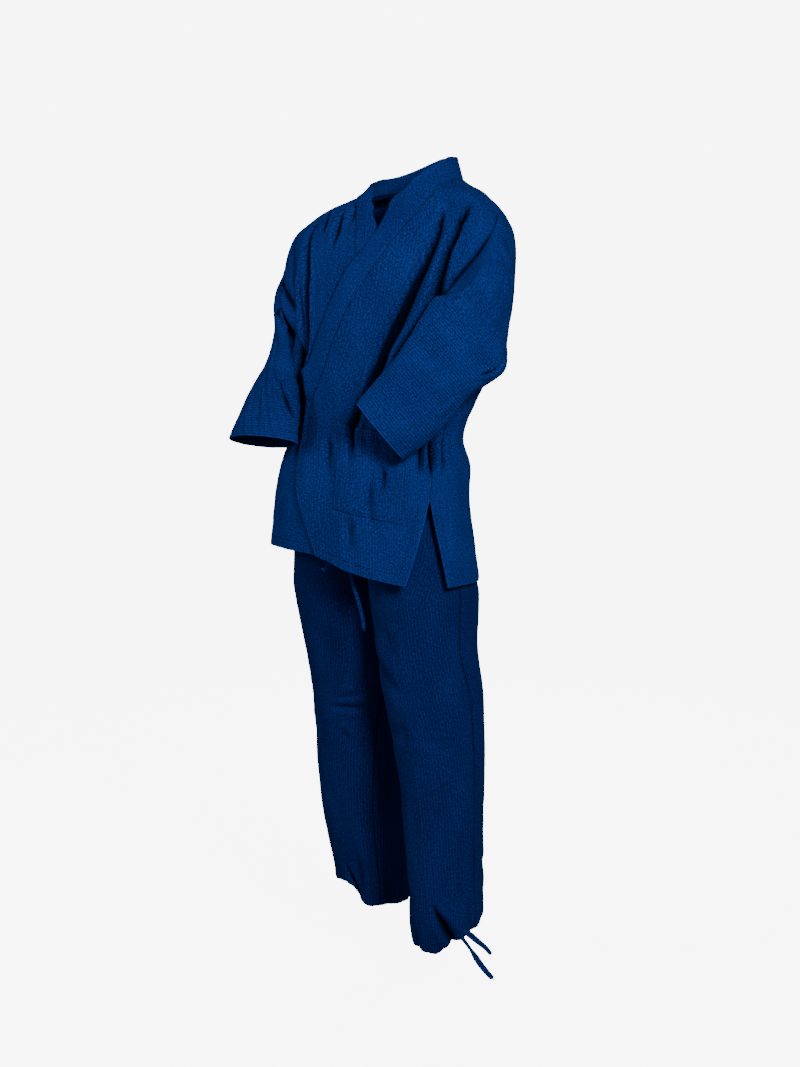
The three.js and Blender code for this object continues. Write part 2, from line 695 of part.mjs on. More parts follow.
/** One leg panel. face is 1 for a front and -1 for a back. */
function legPanel(name, side, face) {
  const columns = 6;
  const rows = LEG_ROWS.leg + LEG_ROWS.crotch + LEG_ROWS.hip;
  const sign = side === "left" ? 1 : -1;
  const inset = SEAM / 2 / 280;
  return wall(name, COLOURS.trousers, columns, rows, (i, j) => {
    const across = mix(inset, 1 - inset, i / columns);
    const angle = sign * (face > 0 ? mix(-90, LEG_SIDE, across) : mix(270, LEG_SIDE, across));
    const z = legHeight(side, angle, j);
    const form = (u, v) => legPoint(side, face, u, v);
    const out = normalOf(form, across, z, 0.003, 2).multiplyScalar(sign * face);
    const turned = ((angle + 540) % 360) - 180;
    const fold = foldDepth(LEG_FOLDS[side], turned, z, LEG_MM_PER_DEGREE, 1);
    return { at: form(across, z).addScaledVector(out, -fold), out };
  });
}

/** The waistband, a closed ring above the leg panels. */
function waistband() {
  const columns = 26;
  const rows = 1;
  return wall("waistband", COLOURS.trousers, columns, rows, (i, j) => {
    const angle = (360 * i) / columns;
    const z = mix(TROUSER_TOP + SEAM, TROUSER_TOP + WAISTBAND, j / rows);
    const form = (u, v) => ovalPoint(HIP(v), u, v, 0);
    return { at: form(angle, z), out: normalOf(form, angle, z, 0.5, 2) };
  }, { wrap: true });
}

// ---------- ties ----------
/** A tape or cord through points: a section with 8 sides, wide across and thick. */
function cord(name, colour, route, wide, thick, steps, twist = 0) {
  const section = new THREE.Shape();
  for (let k = 0; k < 8; k += 1) {
    const angle = rad(45 * k + 22.5);
    const x = (wide / 2) * Math.cos(angle);
    const y = (thick / 2) * Math.sin(angle);
    const c = Math.cos(rad(twist));
    const s = Math.sin(rad(twist));
    if (k === 0) section.moveTo(x * c - y * s, x * s + y * c);
    else section.lineTo(x * c - y * s, x * s + y * c);
  }
  section.closePath();
  const path = new THREE.CatmullRomCurve3(route.map((point) => new THREE.Vector3(...point)));
  return meshOf(name, colour, new THREE.ExtrudeGeometry(section, { steps, extrudePath: path }));
}

/** A knot: a rounded lump with its three sizes, at its centre. */
function knot(name, colour, centre, [x, y, z], turn) {
  const geometry = new THREE.SphereGeometry(1, 10, 6);
  geometry.scale(x / 2, y / 2, z / 2);
  geometry.rotateZ(rad(turn));
  geometry.translate(...centre);
  return meshOf(name, colour, geometry);
}

/** Point off the right front's cloth, from an angle, a height and a distance. */
function offFront([angle, height, off]) {
  const { at, out } = bodyNode(angle, height, lapLift.right(angle));
  return at.addScaledVector(out, off).toArray();
}

/** A strap that lies on the right front, between two angles, at the height of the tie. */
function strap(name, from, to, columns) {
  return wall(name, COLOURS.jacket, columns, 1, (i, j) => {
    const [angle, middle, width, off] = from.map((value, k) => mix(value, to[k], i / columns));
    const node = bodyNode(angle, middle + (j - 0.5) * width, lapLift.right(angle));
    node.at.addScaledVector(node.out, off);
    return node;
  });
}

// The jacket's tie, on the right front: angle, height and distance off its cloth.
const TIE_KNOT = [-36.5, 1118, 8];
const TIE_ENDS = {
  a: [[-35.3, 1108, 8.2], [-34.5, 1090, 10], [-34.5, 1070, 13], [-34, 1050, 15], [-34, 1034, 15]],
  b: [[-38.3, 1108.3, 6], [-39, 1092, 6], [-39, 1074, 8], [-39, 1058, 10]],
};

// The drawstring: its knot at the waistband and its two free ends, which hang in front.
const DRAWSTRING_KNOT = [-38, -149.7, 1075];
const DRAWSTRING_ENDS = {
  a: [
    [-33.5, -151, 1069], [-32, -155, 1045], [-29, -163, 1010], [-25, -173, 965], [-19, -181, 920],
    [-12, -186, 880], [-4, -186, 840], [5, -183, 805], [10, -180, 775], [15, -172, 745],
    [19, -165, 715], [21, -161, 684],
  ],
  b: [
    [-42.5, -151, 1069], [-44, -155, 1045], [-45, -163, 1010], [-44, -174, 960], [-40, -184, 915],
    [-36, -189, 870], [-32, -194, 835], [-32, -197, 815], [-35, -200, 803], [-41, -204, 798],
    [-45, -207, 801],
  ],
};

// The free ends of the ankle ties, which come out near the outer seams.
const ANKLE_ENDS = {
  left: [
    [[189.3, -73, 129], [193, -60, 120], [201, -48, 107], [212, -35, 92], [218, -27, 79]],
    [[189.4, -77.6, 117], [191, -64, 101], [197, -53, 82], [204, -40, 59], [213, -28, 40], [218, -21, 31]],
  ],
  right: [
    [[-216.5, 82.8, 146], [-219, 87, 132], [-222, 93, 112], [-223, 95, 92], [-223, 96, 76]],
    [[-212.1, 89.3, 139], [-214, 94, 122], [-216, 100, 102], [-216, 102, 82], [-215, 103, 66]],
  ],
};

const garment = new THREE.Group();
garment.add(
  back(),
  front("left"),
  front("right"),
  collarBand(),
  pocket(),
  sleeve("sleeve_left", "left"),
  sleeve("sleeve_right", "right"),
  legPanel("leg_front_left", "left", 1),
  legPanel("leg_back_left", "left", -1),
  legPanel("leg_front_right", "right", 1),
  legPanel("leg_back_right", "right", -1),
  waistband(),
  strap("tie_strap_side", [-70, 1122, STRAP, 2.8], [-43, 1119, 8, 3.2], 5),
  knot("tie_knot", COLOURS.jacket, offFront(TIE_KNOT), [16, 12, 20], -38),
  knot("drawstring_knot", COLOURS.tape, DRAWSTRING_KNOT, [16, 9, 13], 0),
);
for (const [end, route] of Object.entries(TIE_ENDS)) {
  garment.add(cord(`tie_end_${end}`, COLOURS.jacket, route.map(offFront), 8, 3, 4));
}
for (const [end, route] of Object.entries(DRAWSTRING_ENDS)) {
  garment.add(cord(`drawstring_end_${end}`, COLOURS.tape, route, CORD, CORD * 0.7, end === "a" ? 18 : 14));
}
for (const [side, ends] of Object.entries(ANKLE_ENDS)) {
  ends.forEach((route, n) => {
    const name = `ankle_tie_${side}_${"ab"[n]}`;
    garment.add(cord(name, COLOURS.tape, route, ANKLE_TAPE, 3, 5));
  });
}
garment.position.z = -SHOULDER_HEIGHT;

export default garment;
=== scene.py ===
import math

import bpy
import numpy as np
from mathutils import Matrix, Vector


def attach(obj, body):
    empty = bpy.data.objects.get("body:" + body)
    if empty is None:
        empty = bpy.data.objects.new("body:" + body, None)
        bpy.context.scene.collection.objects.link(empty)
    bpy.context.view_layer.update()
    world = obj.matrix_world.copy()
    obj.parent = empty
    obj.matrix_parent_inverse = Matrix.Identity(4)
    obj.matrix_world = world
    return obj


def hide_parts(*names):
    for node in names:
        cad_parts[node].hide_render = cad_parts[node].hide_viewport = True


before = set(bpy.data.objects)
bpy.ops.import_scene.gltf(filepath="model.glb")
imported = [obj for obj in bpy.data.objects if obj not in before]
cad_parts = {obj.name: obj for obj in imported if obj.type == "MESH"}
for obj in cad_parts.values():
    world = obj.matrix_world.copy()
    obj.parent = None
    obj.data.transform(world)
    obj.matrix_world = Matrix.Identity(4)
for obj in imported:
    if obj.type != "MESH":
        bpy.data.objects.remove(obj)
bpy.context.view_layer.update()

# Lengths are in millimetres and heights above the wearer's floor up to the meshes, which
# are in metres with the shoulders at the origin.
SHOULDER_HEIGHT = 1500
CLOTH = 1.3             # thickness of the cloth
LAP = 2.6               # how far out the left front lies over the right one
UNDERLAP = 3.4          # how far in the right front lies there
UNDER_BAND = 3.4        # and how far in a front lies beneath the collar band
TIE_UNDERLAP = 7.0      # how far in the right front's tie lies by the lap
HEM_HEIGHT = 775
SLIT_TOP = 935
SLIT_SPREAD = 14        # degrees from the side seam to each side of the slit at the hem
BAND_END = 1105         # lower end of the collar band
NECK_SEAM = 1512
BAND_STAND = {"left": 41, "right": 29}
RIGHT_DROP = 28         # how much lower the right shoulder hangs
CROTCH = 748
HIP_BLEND = 120         # above the crotch, the height in which a leg joins the hips
TROUSER_TOP = 1060
WAISTBAND = 34
STRAP = 20
BODY_MM = 3.3           # mm of cloth for one degree round the body
SLEEVE_MM = 1.5         # round a sleeve
LEG_MM = 1.4            # and round a leg
PAINTED_FOLD_SHADE = (2, 12)    # mm down in a fold where its painted shade starts and is full
NO_HEM = 400.0          # distance to a hem where there is none
# How deep and how far from the seam the cloth turns in: beside the side seam, beside the
# armhole, and where that is drawn in between the chest and the sleeve head.
SIDE_SEW = (1.2, 3.0)
ARMHOLE_SEW = (2.6, 6.0)
VALLEY_SEW = (11, 9.0)
PAINTED_VALLEY_SHADE = 14       # and how deep a fold the painted shade there stands for
SIDES = ("left", "right")
SIGN = {"left": 1, "right": -1}


# ---------- the camera ----------
def new_object(name, data):
    """A new object in the scene."""
    piece = bpy.data.objects.new(name, data)
    bpy.context.scene.collection.objects.link(piece)
    return piece


camera = new_object("camera", bpy.data.cameras.new("camera"))
camera.location = (2.9916, -3.3618, -0.050)
camera.rotation_euler = (math.radians(82.4), 0, math.radians(42))
camera.data.sensor_width = 36
camera.data.lens = 80.97
bpy.context.scene.camera = camera


# ---------- numbers ----------
def mix(a, b, t):
    return a + (b - a) * t


def ease(x, a, b):
    t = np.clip((np.asarray(x, float) - a) / (b - a), 0, 1)
    return t * t * (3 - 2 * t)


def grids(*values):
    """The values as arrays of one shape."""
    return np.broadcast_arrays(*(np.asarray(value, float) for value in values))


def power(x, p):
    return np.sign(x) * np.abs(x) ** p


def unit(v):
    return v / np.maximum(np.linalg.norm(v, axis=-1, keepdims=True), 1e-9)


def catmull(a, b, c, d, t):
    """Point at t, from b to c, on a smooth curve through a, b, c and d."""
    return 0.5 * (2 * b + (c - a) * t + (2 * a - 5 * b + 4 * c - d) * t ** 2
                  + (3 * b - a - 3 * c + d) * t ** 3)


def unturned(angle):
    """The same angle from -180 to 180."""
    return (angle + 180) % 360 - 180


def profile(rows):
    """Rows of numbers as smooth functions of their first column."""
    table = np.array(rows, float)
    keys, values = table[:, 0], table[:, 1:]
    step = np.diff(keys)
    slope = np.diff(values, axis=0) / step[:, None]
    tangent = np.empty_like(values)
    tangent[0], tangent[-1] = slope[0], slope[-1]
    before, after = slope[:-1], slope[1:]
    level = (before * step[1:, None] + after * step[:-1, None]) / (step[:-1] + step[1:])[:, None]
    tangent[1:-1] = np.where(before * after <= 0, 0, level)

    def at(key):
        key = np.asarray(key, float)
        i = np.clip(np.searchsorted(keys, key, side="left") - 1, 0, len(keys) - 2)
        h = step[i][..., None]
        t = np.clip((key - keys[i]) / step[i], 0, 1)[..., None]
        found = (
            values[i] * (1 + 2 * t) * (1 - t) ** 2
            + tangent[i] * h * t * (1 - t) ** 2
            + values[i + 1] * t * t * (3 - 2 * t)
            + tangent[i + 1] * h * t * t * (t - 1)
        )
        return np.moveaxis(found, -1, 0)

    return at


def ripple(x, y, seed):
    """Smooth noise from -1 to 1 with a wavelength of about 2."""
    rng = np.random.default_rng(seed)
    n = 64
    turn = rng.uniform(0, 2 * math.pi, (n, n))
    gx, gy = np.cos(turn), np.sin(turn)
    x, y = grids(x, y)
    i, j = np.floor(x).astype(int), np.floor(y).astype(int)
    fx, fy = x - i, y - j
    sx = fx ** 3 * (fx * (fx * 6 - 15) + 10)
    sy = fy ** 3 * (fy * (fy * 6 - 15) + 10)

    def corner(di, dj):
        a, b = (i + di) % n, (j + dj) % n
        return gx[a, b] * (fx - di) + gy[a, b] * (fy - dj)

    low = mix(corner(0, 0), corner(1, 0), sx)
    high = mix(corner(0, 1), corner(1, 1), sx)
    return 1.5 * mix(low, high, sy)


def ripples(x, y, layers, seed):
    """Layers of ripple added up; each is its height and its scale in x and y."""
    return sum(high * ripple(x / wide, y / tall, seed + n)
               for n, (high, wide, tall) in enumerate(layers))


def crease(u, v, stations, u_mm, ridge=0.28):
    """
    Depth of a fold at (u, v). Its stations are (u, v, half width, depth, lean), where the
    depth and lean may be left out if they are 0. A lean towards 1 makes the wall on the
    right of its path steep and the other one gentle.
    """
    best = np.full(np.shape(u), 1e9)
    depth = np.zeros(np.shape(u))
    for start, end in zip(stations[:-1], stations[1:]):
        u0, v0, w0, d0, lean = (*start, 0, 0)[:5]
        u1, v1, w1, d1 = (*end, 0)[:4]
        ax, ay = (u1 - u0) * u_mm, v1 - v0
        px, py = (u - u0) * u_mm, v - v0
        t = np.clip((px * ax + py * ay) / (ax * ax + ay * ay), 0, 1)
        off = np.hypot(px - ax * t, py - ay * t)
        side = np.where(px * ay - py * ax > 0, 1.0, -1.0)
        x = off / (mix(w0, w1, t) * (1 - 0.62 * lean * side))
        shape = np.exp(-x ** 1.7) - ridge * np.exp(-((x - 2.3) / 0.9) ** 2)
        near = off < best
        depth = np.where(near, mix(d0, d1, t) * shape, depth)
        best = np.where(near, off, best)
    return depth


def creases(u, v, table, u_mm):
    return sum(crease(u, v, stations, u_mm) for stations in table)


def oval(row, angle, z, lift):
    wide, front, back, x, y, turn, square = row
    s, c = np.sin(np.radians(angle)), np.cos(np.radians(angle))
    across = (wide + lift) * power(s, 2 / square)
    ahead = (np.where(c > 0, front, back) + lift) * power(c, 2 / square)
    t = np.radians(turn)
    return np.stack(
        np.broadcast_arrays(
            x + across * np.cos(t) + ahead * np.sin(t),
            y + across * np.sin(t) - ahead * np.cos(t),
            z,
        ),
        axis=-1,
    )


def normal_of(form, u, v, du, dv):
    return unit(np.cross(form(u + du, v) - form(u - du, v), form(u, v + dv) - form(u, v - dv)))


# ---------- the jacket's form, as in the part's source ----------
# Height, half width, depth in front and behind, the middle's x and y, turn in degrees and
# how square the outline is; 2 makes an oval.
BODY = profile([
    [760, 222, 156, 154, -46, -66, 0, 2.2],
    [850, 213, 148, 142, -46, -66, 0, 2.2],
    [930, 204, 142, 134, -46, -65, 0, 2.2],
    [985, 198, 132, 135, -43, -62, 0, 2.2],
    [1040, 183, 120, 111, -43, -55, 0, 2.2],
    [1100, 191, 122, 126, -37, -47, 1, 2.2],
    [1155, 206, 134, 140, -32, -38, 2, 2.2],
    [1230, 226, 138, 152, -24, -32, 4, 2.25],
    [1330, 234, 128, 144, -20, -25, 5, 2.3],
    [1400, 232, 104, 126, -17, -18, 5, 2.3],
    [1434, 220, 90, 112, -14, -13, 5, 2.2],
    [1452, 206, 84, 102, -13, -10, 5, 2.15],
    [1472, 183, 80, 94, -13, -7, 5, 2.1],
    [1490, 144, 79, 89, 0, -5, 4, 2.1],
    [1503, 107, 78, 86, 4, -3, 3, 2.1],
    [1514, 90, 77, 84, 3, -2, 3, 2.1],
    [1530, 82, 76, 81, 2, 0, 2, 2.0],
    [1570, 77, 74, 78, 0, 0, 2, 2.0],
])
# Angles round the body are 0 in front and 90 at the wearer's left. How far the hem rises,
# by the angle; and by the height, where the side seam runs and how far past the middle
# each front's edge lies.
HEM_RISE = profile([
    [-180, 6], [-110, 30], [-60, 50], [-6, 52], [20, 26], [50, 6], [80, 0], [180, 6],
])
SIDE_SEAM = profile([[775, 65], [935, 69], [1040, 71], [1150, 76]])
FRONT_EDGE = profile([[775, 0], [828, 6], [940, 17], [1014, 25], [1060, 31], [1100, 31]])
# The collar band on each front: height, the angles of its sewn and its free edge towards
# the front's own side, and how much higher the free edge lies.
BAND = {
    "left": profile([
        [1105, -20, -31.5, 1],
        [1122, -17, -29, 15],
        [1162, -10.5, -20.5, 18],
        [1194, -8, -17, 17],
        [1241, -4, -12, 16],
        [1301, 1, -6.5, 17],
        [1341, 4.5, -3, 18],
        [1374, 8, 0.5, 19],
        [1400, 11, 2.5, 21],
        [1425, 15, 5, 28],
        [1450, 22, 9, 31],
        [1478, 34, 22, 22],
        [1498, 50, 40, 20],
        [1507, 68, 60, 28],
        [1512, 90, 88, 41],
    ]),
    "right": profile([
        [1105, -20, -31.5, 1],
        [1175, -12, -24, 7],
        [1249, -6, -16, 8],
        [1305, -2, -11, 12],
        [1362, 1, -6, 15],
        [1389, 4.5, -2.5, 18],
        [1416, 7.5, -0.5, 15],
        [1441, 12, 3, 10],
        [1466, 18, 6, 5],
        [1480, 26, 14, 11],
        [1497, 48, 43, 22],
        [1505, 72, 68, 27],
        [1512, 90, 88, 29],
    ]),
}

# Folds of the jacket's body: (angle, height, half width, depth, lean) at each station.
BODY_CREASES = [
    # from the shoulder down to where the left forearm crosses
    [(39, 1462, 3, 0, 1), (35.5, 1434, 5.5, 13, 1), (33, 1392, 7, 20, 1), (31, 1356, 8, 23, 1),
     (28, 1322, 9, 25, 1), (25.3, 1286, 10, 27, 1), (22.5, 1252, 11, 28, 1),
     (20, 1216, 11.5, 28, 1), (18.5, 1180, 12, 28, 1), (16, 1142, 13, 26, 1),
     (13, 1105, 13, 12, 1), (12, 1060, 14)],
    # from the shoulder point down in front of the left armhole
    [(68, 1474, 3), (58, 1458, 5, 11, 0.3), (49.2, 1436, 5.5, 18, 0.3),
     (43.5, 1386, 5.5, 22, 0.3), (42.8, 1340, 6.5, 24, 0.3), (42.2, 1304, 8, 24, 0.3),
     (38.5, 1270, 6, 12), (35.5, 1248, 6, 12), (33, 1222, 8, 21), (30.5, 1198, 9, 22),
     (28, 1170, 9)],
    # the roll of cloth between the two
    [(50, 1462, 10), (42, 1420, 10, -4), (38, 1370, 11, -6), (35, 1300, 12, -7),
     (29, 1230, 12, -7), (25, 1170, 12, -6), (20, 1110, 12)],
    # down the right side, from the shoulder to the edge of the band
    [(-44, 1450, 3, 0, -1), (-41, 1428, 5, 12, -1), (-33.5, 1380, 7, 15, -1),
     (-28, 1336, 9, 17, -1), (-25.8, 1292, 10, 18, -1), (-24.4, 1236, 10, 18, -1),
     (-24.6, 1200, 10, 18, -1), (-29, 1150, 10, 12, -1), (-31, 1120, 10)],
    [(-38, 1350, 3), (-35, 1300, 4, 7), (-32, 1250, 4, 8), (-30, 1190, 4)],
    # beneath the right arm
    [(-36, 1235, 8), (-34, 1190, 11, 17), (-31, 1140, 12, 20), (-31, 1075, 10, 14),
     (-32, 1020, 9, 8), (-32, 980, 8)],
    # small folds under the right shoulder and by the collar
    [(-46, 1468, 3), (-42, 1461, 4, 9), (-34, 1432, 4.5, 11), (-29.5, 1410, 4)],
    [(-28, 1464, 3), (-25, 1449, 4.5, 13), (-19, 1412, 5.5, 11), (-17.5, 1380, 4)],
    [(-20, 1478, 3), (-17, 1455, 4, 9), (-13, 1425, 4)],
    # soft folds between the collar band and the left shoulder
    [(40, 1492, 4), (36, 1474, 5, 3.6), (30, 1452, 6, 3.4), (24, 1430, 6)],
    [(58, 1490, 4), (48, 1470, 5, 4), (38, 1448, 6, 3.2), (30, 1425, 6)],
    # the waist
    [(70.6, 1090, 6), (70.4, 1056, 8, 20), (70.2, 1010, 8, 19), (69.6, 970, 7)],
    [(82, 1090, 5), (82, 1054, 7, 18), (81.4, 1012, 7, 14), (80, 975, 7)],
    [(86, 1100, 9), (87, 1045, 11, 7), (88, 990, 12)],
    [(62, 1064, 5), (61.5, 1034, 7, 15), (61, 1005, 7, 11), (59, 975, 6)],
    [(11, 1100, 6), (12, 1075, 7, 12), (13, 1030, 8, 11), (14, 985, 9)],
    [(-4, 1045, 5), (-2, 1026, 6, 9), (1, 990, 7, 6), (3, 955, 7)],
    [(33, 1010, 5), (36, 982, 6, 10), (37, 960, 7, 7), (36, 935, 7)],
    [(28, 975, 6), (29.5, 950, 7, 8), (31, 908, 7, 6), (31, 875, 7)],
    [(18, 910, 6), (18.5, 885, 7, 8), (18.5, 852, 7, 6), (18, 825, 7)],
    [(-72, 1095, 9), (-71, 1050, 12, 7), (-70, 985, 12)],
    [(-88, 1080, 8), (-86, 1030, 10, 5), (-84, 970, 10)],
    [(-74, 935, 7), (-76, 880, 8, -3.5), (-80, 830, 9, -4), (-82, 790, 9, -3)],
    # the back
    [(148, 1450, 10), (140, 1390, 13, 8), (128, 1280, 15, 9), (116, 1170, 14, 5),
     (110, 1110, 12)],
    [(-148, 1450, 10), (-140, 1390, 13, 8), (-128, 1280, 15, 9), (-116, 1170, 14, 5),
     (-110, 1110, 12)],
    [(120, 1420, 8), (115, 1350, 9, 5), (112, 1270, 10)],
    [(-122, 1420, 8), (-116, 1350, 9, 5), (-112, 1270, 10)],
    [(168, 1180, 10), (164, 1100, 13, 6), (158, 1000, 14, 5), (156, 940, 14)],
    [(-160, 1170, 10), (-162, 1090, 13, 7), (-166, 990, 14, 5), (-168, 930, 14)],
    [(138, 1090, 9), (134, 1050, 11, 6), (132, 980, 12)],
    [(-138, 1090, 9), (-134, 1050, 11, 6), (-130, 980, 12)],
    [(112, 1085, 9), (110, 1040, 11, 6), (106, 980, 12)],
    [(-112, 1085, 9), (-108, 1040, 11, 6), (-106, 980, 12)],
    [(178, 1470, 10), (178, 1420, 12, 3), (176, 1340, 14)],
]

ARMHOLE_TOP = 1450
ARMHOLE_BOTTOM = 1150
ARMHOLE_BACK = 38       # degrees that it reaches behind the side
ARMHOLE_FRONT = {"left": (42, 1.5), "right": (46, 1.2)}     # and in front, with its skew


def drop(angle, height):
    side = np.maximum(-np.sin(np.radians(angle)), 0)
    return RIGHT_DROP * side ** 1.3 * ease(height, 1380, 1500)


def body(angle, height, lift=0.0):
    """Point of the jacket body at an angle and height, before its folds."""
    angle, height = grids(angle, height)
    return oval(BODY(height), angle, height - drop(angle, height), lift)


def lap_lift(side, angle):
    if side == "left":
        return LAP * (1 - ease(angle, 18, 44))
    return -UNDERLAP * ease(angle, -48, -30)


def body_folds(angle, z):
    return creases(unturned(angle), z, BODY_CREASES, BODY_MM)


def body_cloth(angle, z, lift=0.0, dip=0.0):
    """Point of the folded cloth of the body; dip presses it in where it is sewn."""
    angle, z, lift = grids(angle, z, lift)

    def form(u, v):
        return body(u, v, lift)

    out = normal_of(form, angle, z, 0.5, 2)
    deep = body_folds(angle, z)
    across = unturned(angle) * BODY_MM
    calm = 1 - 0.65 * ease(z, 1440, 1500)
    soft = ripples(across, z, [(1.7, 34, 120), (0.8, 15, 60), (0.45, 9, 16)], 3)
    sway = 3.0 * ripple(across / 55, z / 260, 6) * (1 - ease(z, 790, 960))
    return form(angle, z) + out * (soft * calm + sway - deep - dip)[..., None]


def armhole(side, turn):
    """Angle and height on an armhole; turn 0 is its top, 90 its front, 180 its bottom."""
    reach, skew = ARMHOLE_FRONT[side]
    t = np.asarray(turn, float) % 360
    half = np.where(t <= 180, t, 360 - t) / 180
    z = mix(ARMHOLE_BOTTOM, ARMHOLE_TOP, (1 + np.cos(np.radians(t))) / 2)
    base = mix(90, SIDE_SEAM(ARMHOLE_BOTTOM)[0], (1 - np.cos(np.radians(t))) / 2)
    ahead = base - reach * np.sin(np.pi * half ** skew) ** 1.2
    behind = base + ARMHOLE_BACK * np.sin(np.pi * half)
    return SIGN[side] * np.where(t <= 180, ahead, behind), z


# Rows of the body's panels up the side, round the armhole and along the shoulder, and
# columns.
ROWS = {"side": 132, "arm": 100, "shoulder": 30}
ROW = np.arange(sum(ROWS.values()) + 1)[:, None]
AT_ARMHOLE = (ROW >= ROWS["side"]) & (ROW <= ROWS["side"] + ROWS["arm"])
FRONT_COLUMNS = {"left": 150, "right": 100}
BACK_COLUMNS = 112
SEAM_GAP = 0.03         # degrees that a panel keeps off a seam


def outer_line(side, face):
    """Angles and heights up the side seam, round the armhole and along the shoulder."""
    z = np.linspace(HEM_HEIGHT, ARMHOLE_BOTTOM, ROWS["side"] + 1)
    spread = SLIT_SPREAD * np.clip((SLIT_TOP - z) / (SLIT_TOP - HEM_HEIGHT), 0, 1)
    angle = SIGN[side] * (SIDE_SEAM(z)[0] - face * spread - face * SEAM_GAP)
    turn = 180 * (1 - np.arange(1, ROWS["arm"] + 1) / ROWS["arm"])
    arm_angle, arm_z = armhole(side, turn if face > 0 else 360 - turn)
    t = np.arange(1, ROWS["shoulder"] + 1) / ROWS["shoulder"]
    top_angle = np.full(t.shape, SIGN[side] * (90 - face * SEAM_GAP))
    top_z = mix(ARMHOLE_TOP, NECK_SEAM, t)
    return np.concatenate([angle, arm_angle, top_angle]), np.concatenate([z, arm_z, top_z])


def inner_heights():
    """Heights at which the rows of a front meet its edge or the collar band."""
    z = np.linspace(HEM_HEIGHT, ARMHOLE_BOTTOM, ROWS["side"] + 1)
    t = np.arange(1, ROWS["arm"] + ROWS["shoulder"] + 1) / (ROWS["arm"] + ROWS["shoulder"])
    return np.concatenate([z, mix(ARMHOLE_BOTTOM, NECK_SEAM - 3, 1 - (1 - t) ** 1.5)])


def raised(angle, z):
    return z + HEM_RISE(unturned(angle))[0] * (1 - ease(z, HEM_HEIGHT, HEM_HEIGHT + 210))


# ---------- cloth meshes ----------
def lengths(points):
    """Distance run along rows and up columns of a grid, from its first ones."""
    along = np.linalg.norm(np.diff(points, axis=1), axis=-1)
    up = np.linalg.norm(np.diff(points, axis=0), axis=-1)
    zero = np.zeros((points.shape[0], 1))
    across = np.concatenate([zero, np.cumsum(along, axis=1)], axis=1)
    upward = np.concatenate([np.zeros((1, points.shape[1])), np.cumsum(up, axis=0)], axis=0)
    return across, upward


def grid_normals(points, wrap):
    if wrap:
        ring = points[:, :-1]
        du = np.roll(ring, -1, axis=1) - np.roll(ring, 1, axis=1)
        du = np.concatenate([du, du[:, :1]], axis=1)
    else:
        du = np.gradient(points, axis=1)
    return unit(np.cross(du, np.gradient(points, axis=0)))


def quads(rows, cols, value):
    """Value at the four corners of each cell of a grid; value takes rows and columns."""
    j, i = np.meshgrid(np.arange(rows), np.arange(cols), indexing="ij")
    corners = (0, 0), (0, 1), (1, 1), (1, 0)
    return np.stack([value((j + dj).ravel(), (i + di).ravel()) for dj, di in corners], axis=1)


def mesh_object(name, points, faces, cloth, flat=None, fold=None):
    """
    Object from points in mm and quads, with the place in the cloth at each corner, which
    quads are flat, and how much painted shade each corner gets in a fold, from 0 to 1.
    """
    mesh = bpy.data.meshes.new(name)
    points = (np.asarray(points, float) - (0, 0, SHOULDER_HEIGHT)) / 1000
    mesh.vertices.add(len(points))
    mesh.vertices.foreach_set("co", points.ravel())
    mesh.loops.add(faces.size)
    mesh.loops.foreach_set("vertex_index", faces.ravel().astype(np.int32))
    mesh.polygons.add(len(faces))
    starts = np.arange(0, faces.size, faces.shape[1], dtype=np.int32)
    mesh.polygons.foreach_set("loop_start", starts)
    mesh.update(calc_edges=True)
    mesh.polygons.foreach_set("use_smooth", np.ones(len(faces), bool))
    if flat is not None:
        mesh.attributes.new("sharp_face", "BOOLEAN", "FACE").data.foreach_set("value", flat)
    layer = mesh.attributes.new("cloth", "FLOAT_VECTOR", "CORNER")
    layer.data.foreach_set("vector", (cloth / 1000).ravel())
    # the "fold" attribute is painted shade: how far each corner's colour is darkened for lying in a
    # fold
    if fold is not None:
        layer = mesh.attributes.new("fold", "FLOAT", "CORNER")
        layer.data.foreach_set("value", fold.ravel())
    mesh.update()
    return new_object(name, mesh)


def declare(piece, node):
    """Puts a piece on the root body and hides the CAD node that it stands for."""
    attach(piece, "root")
    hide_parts(node)
    return piece


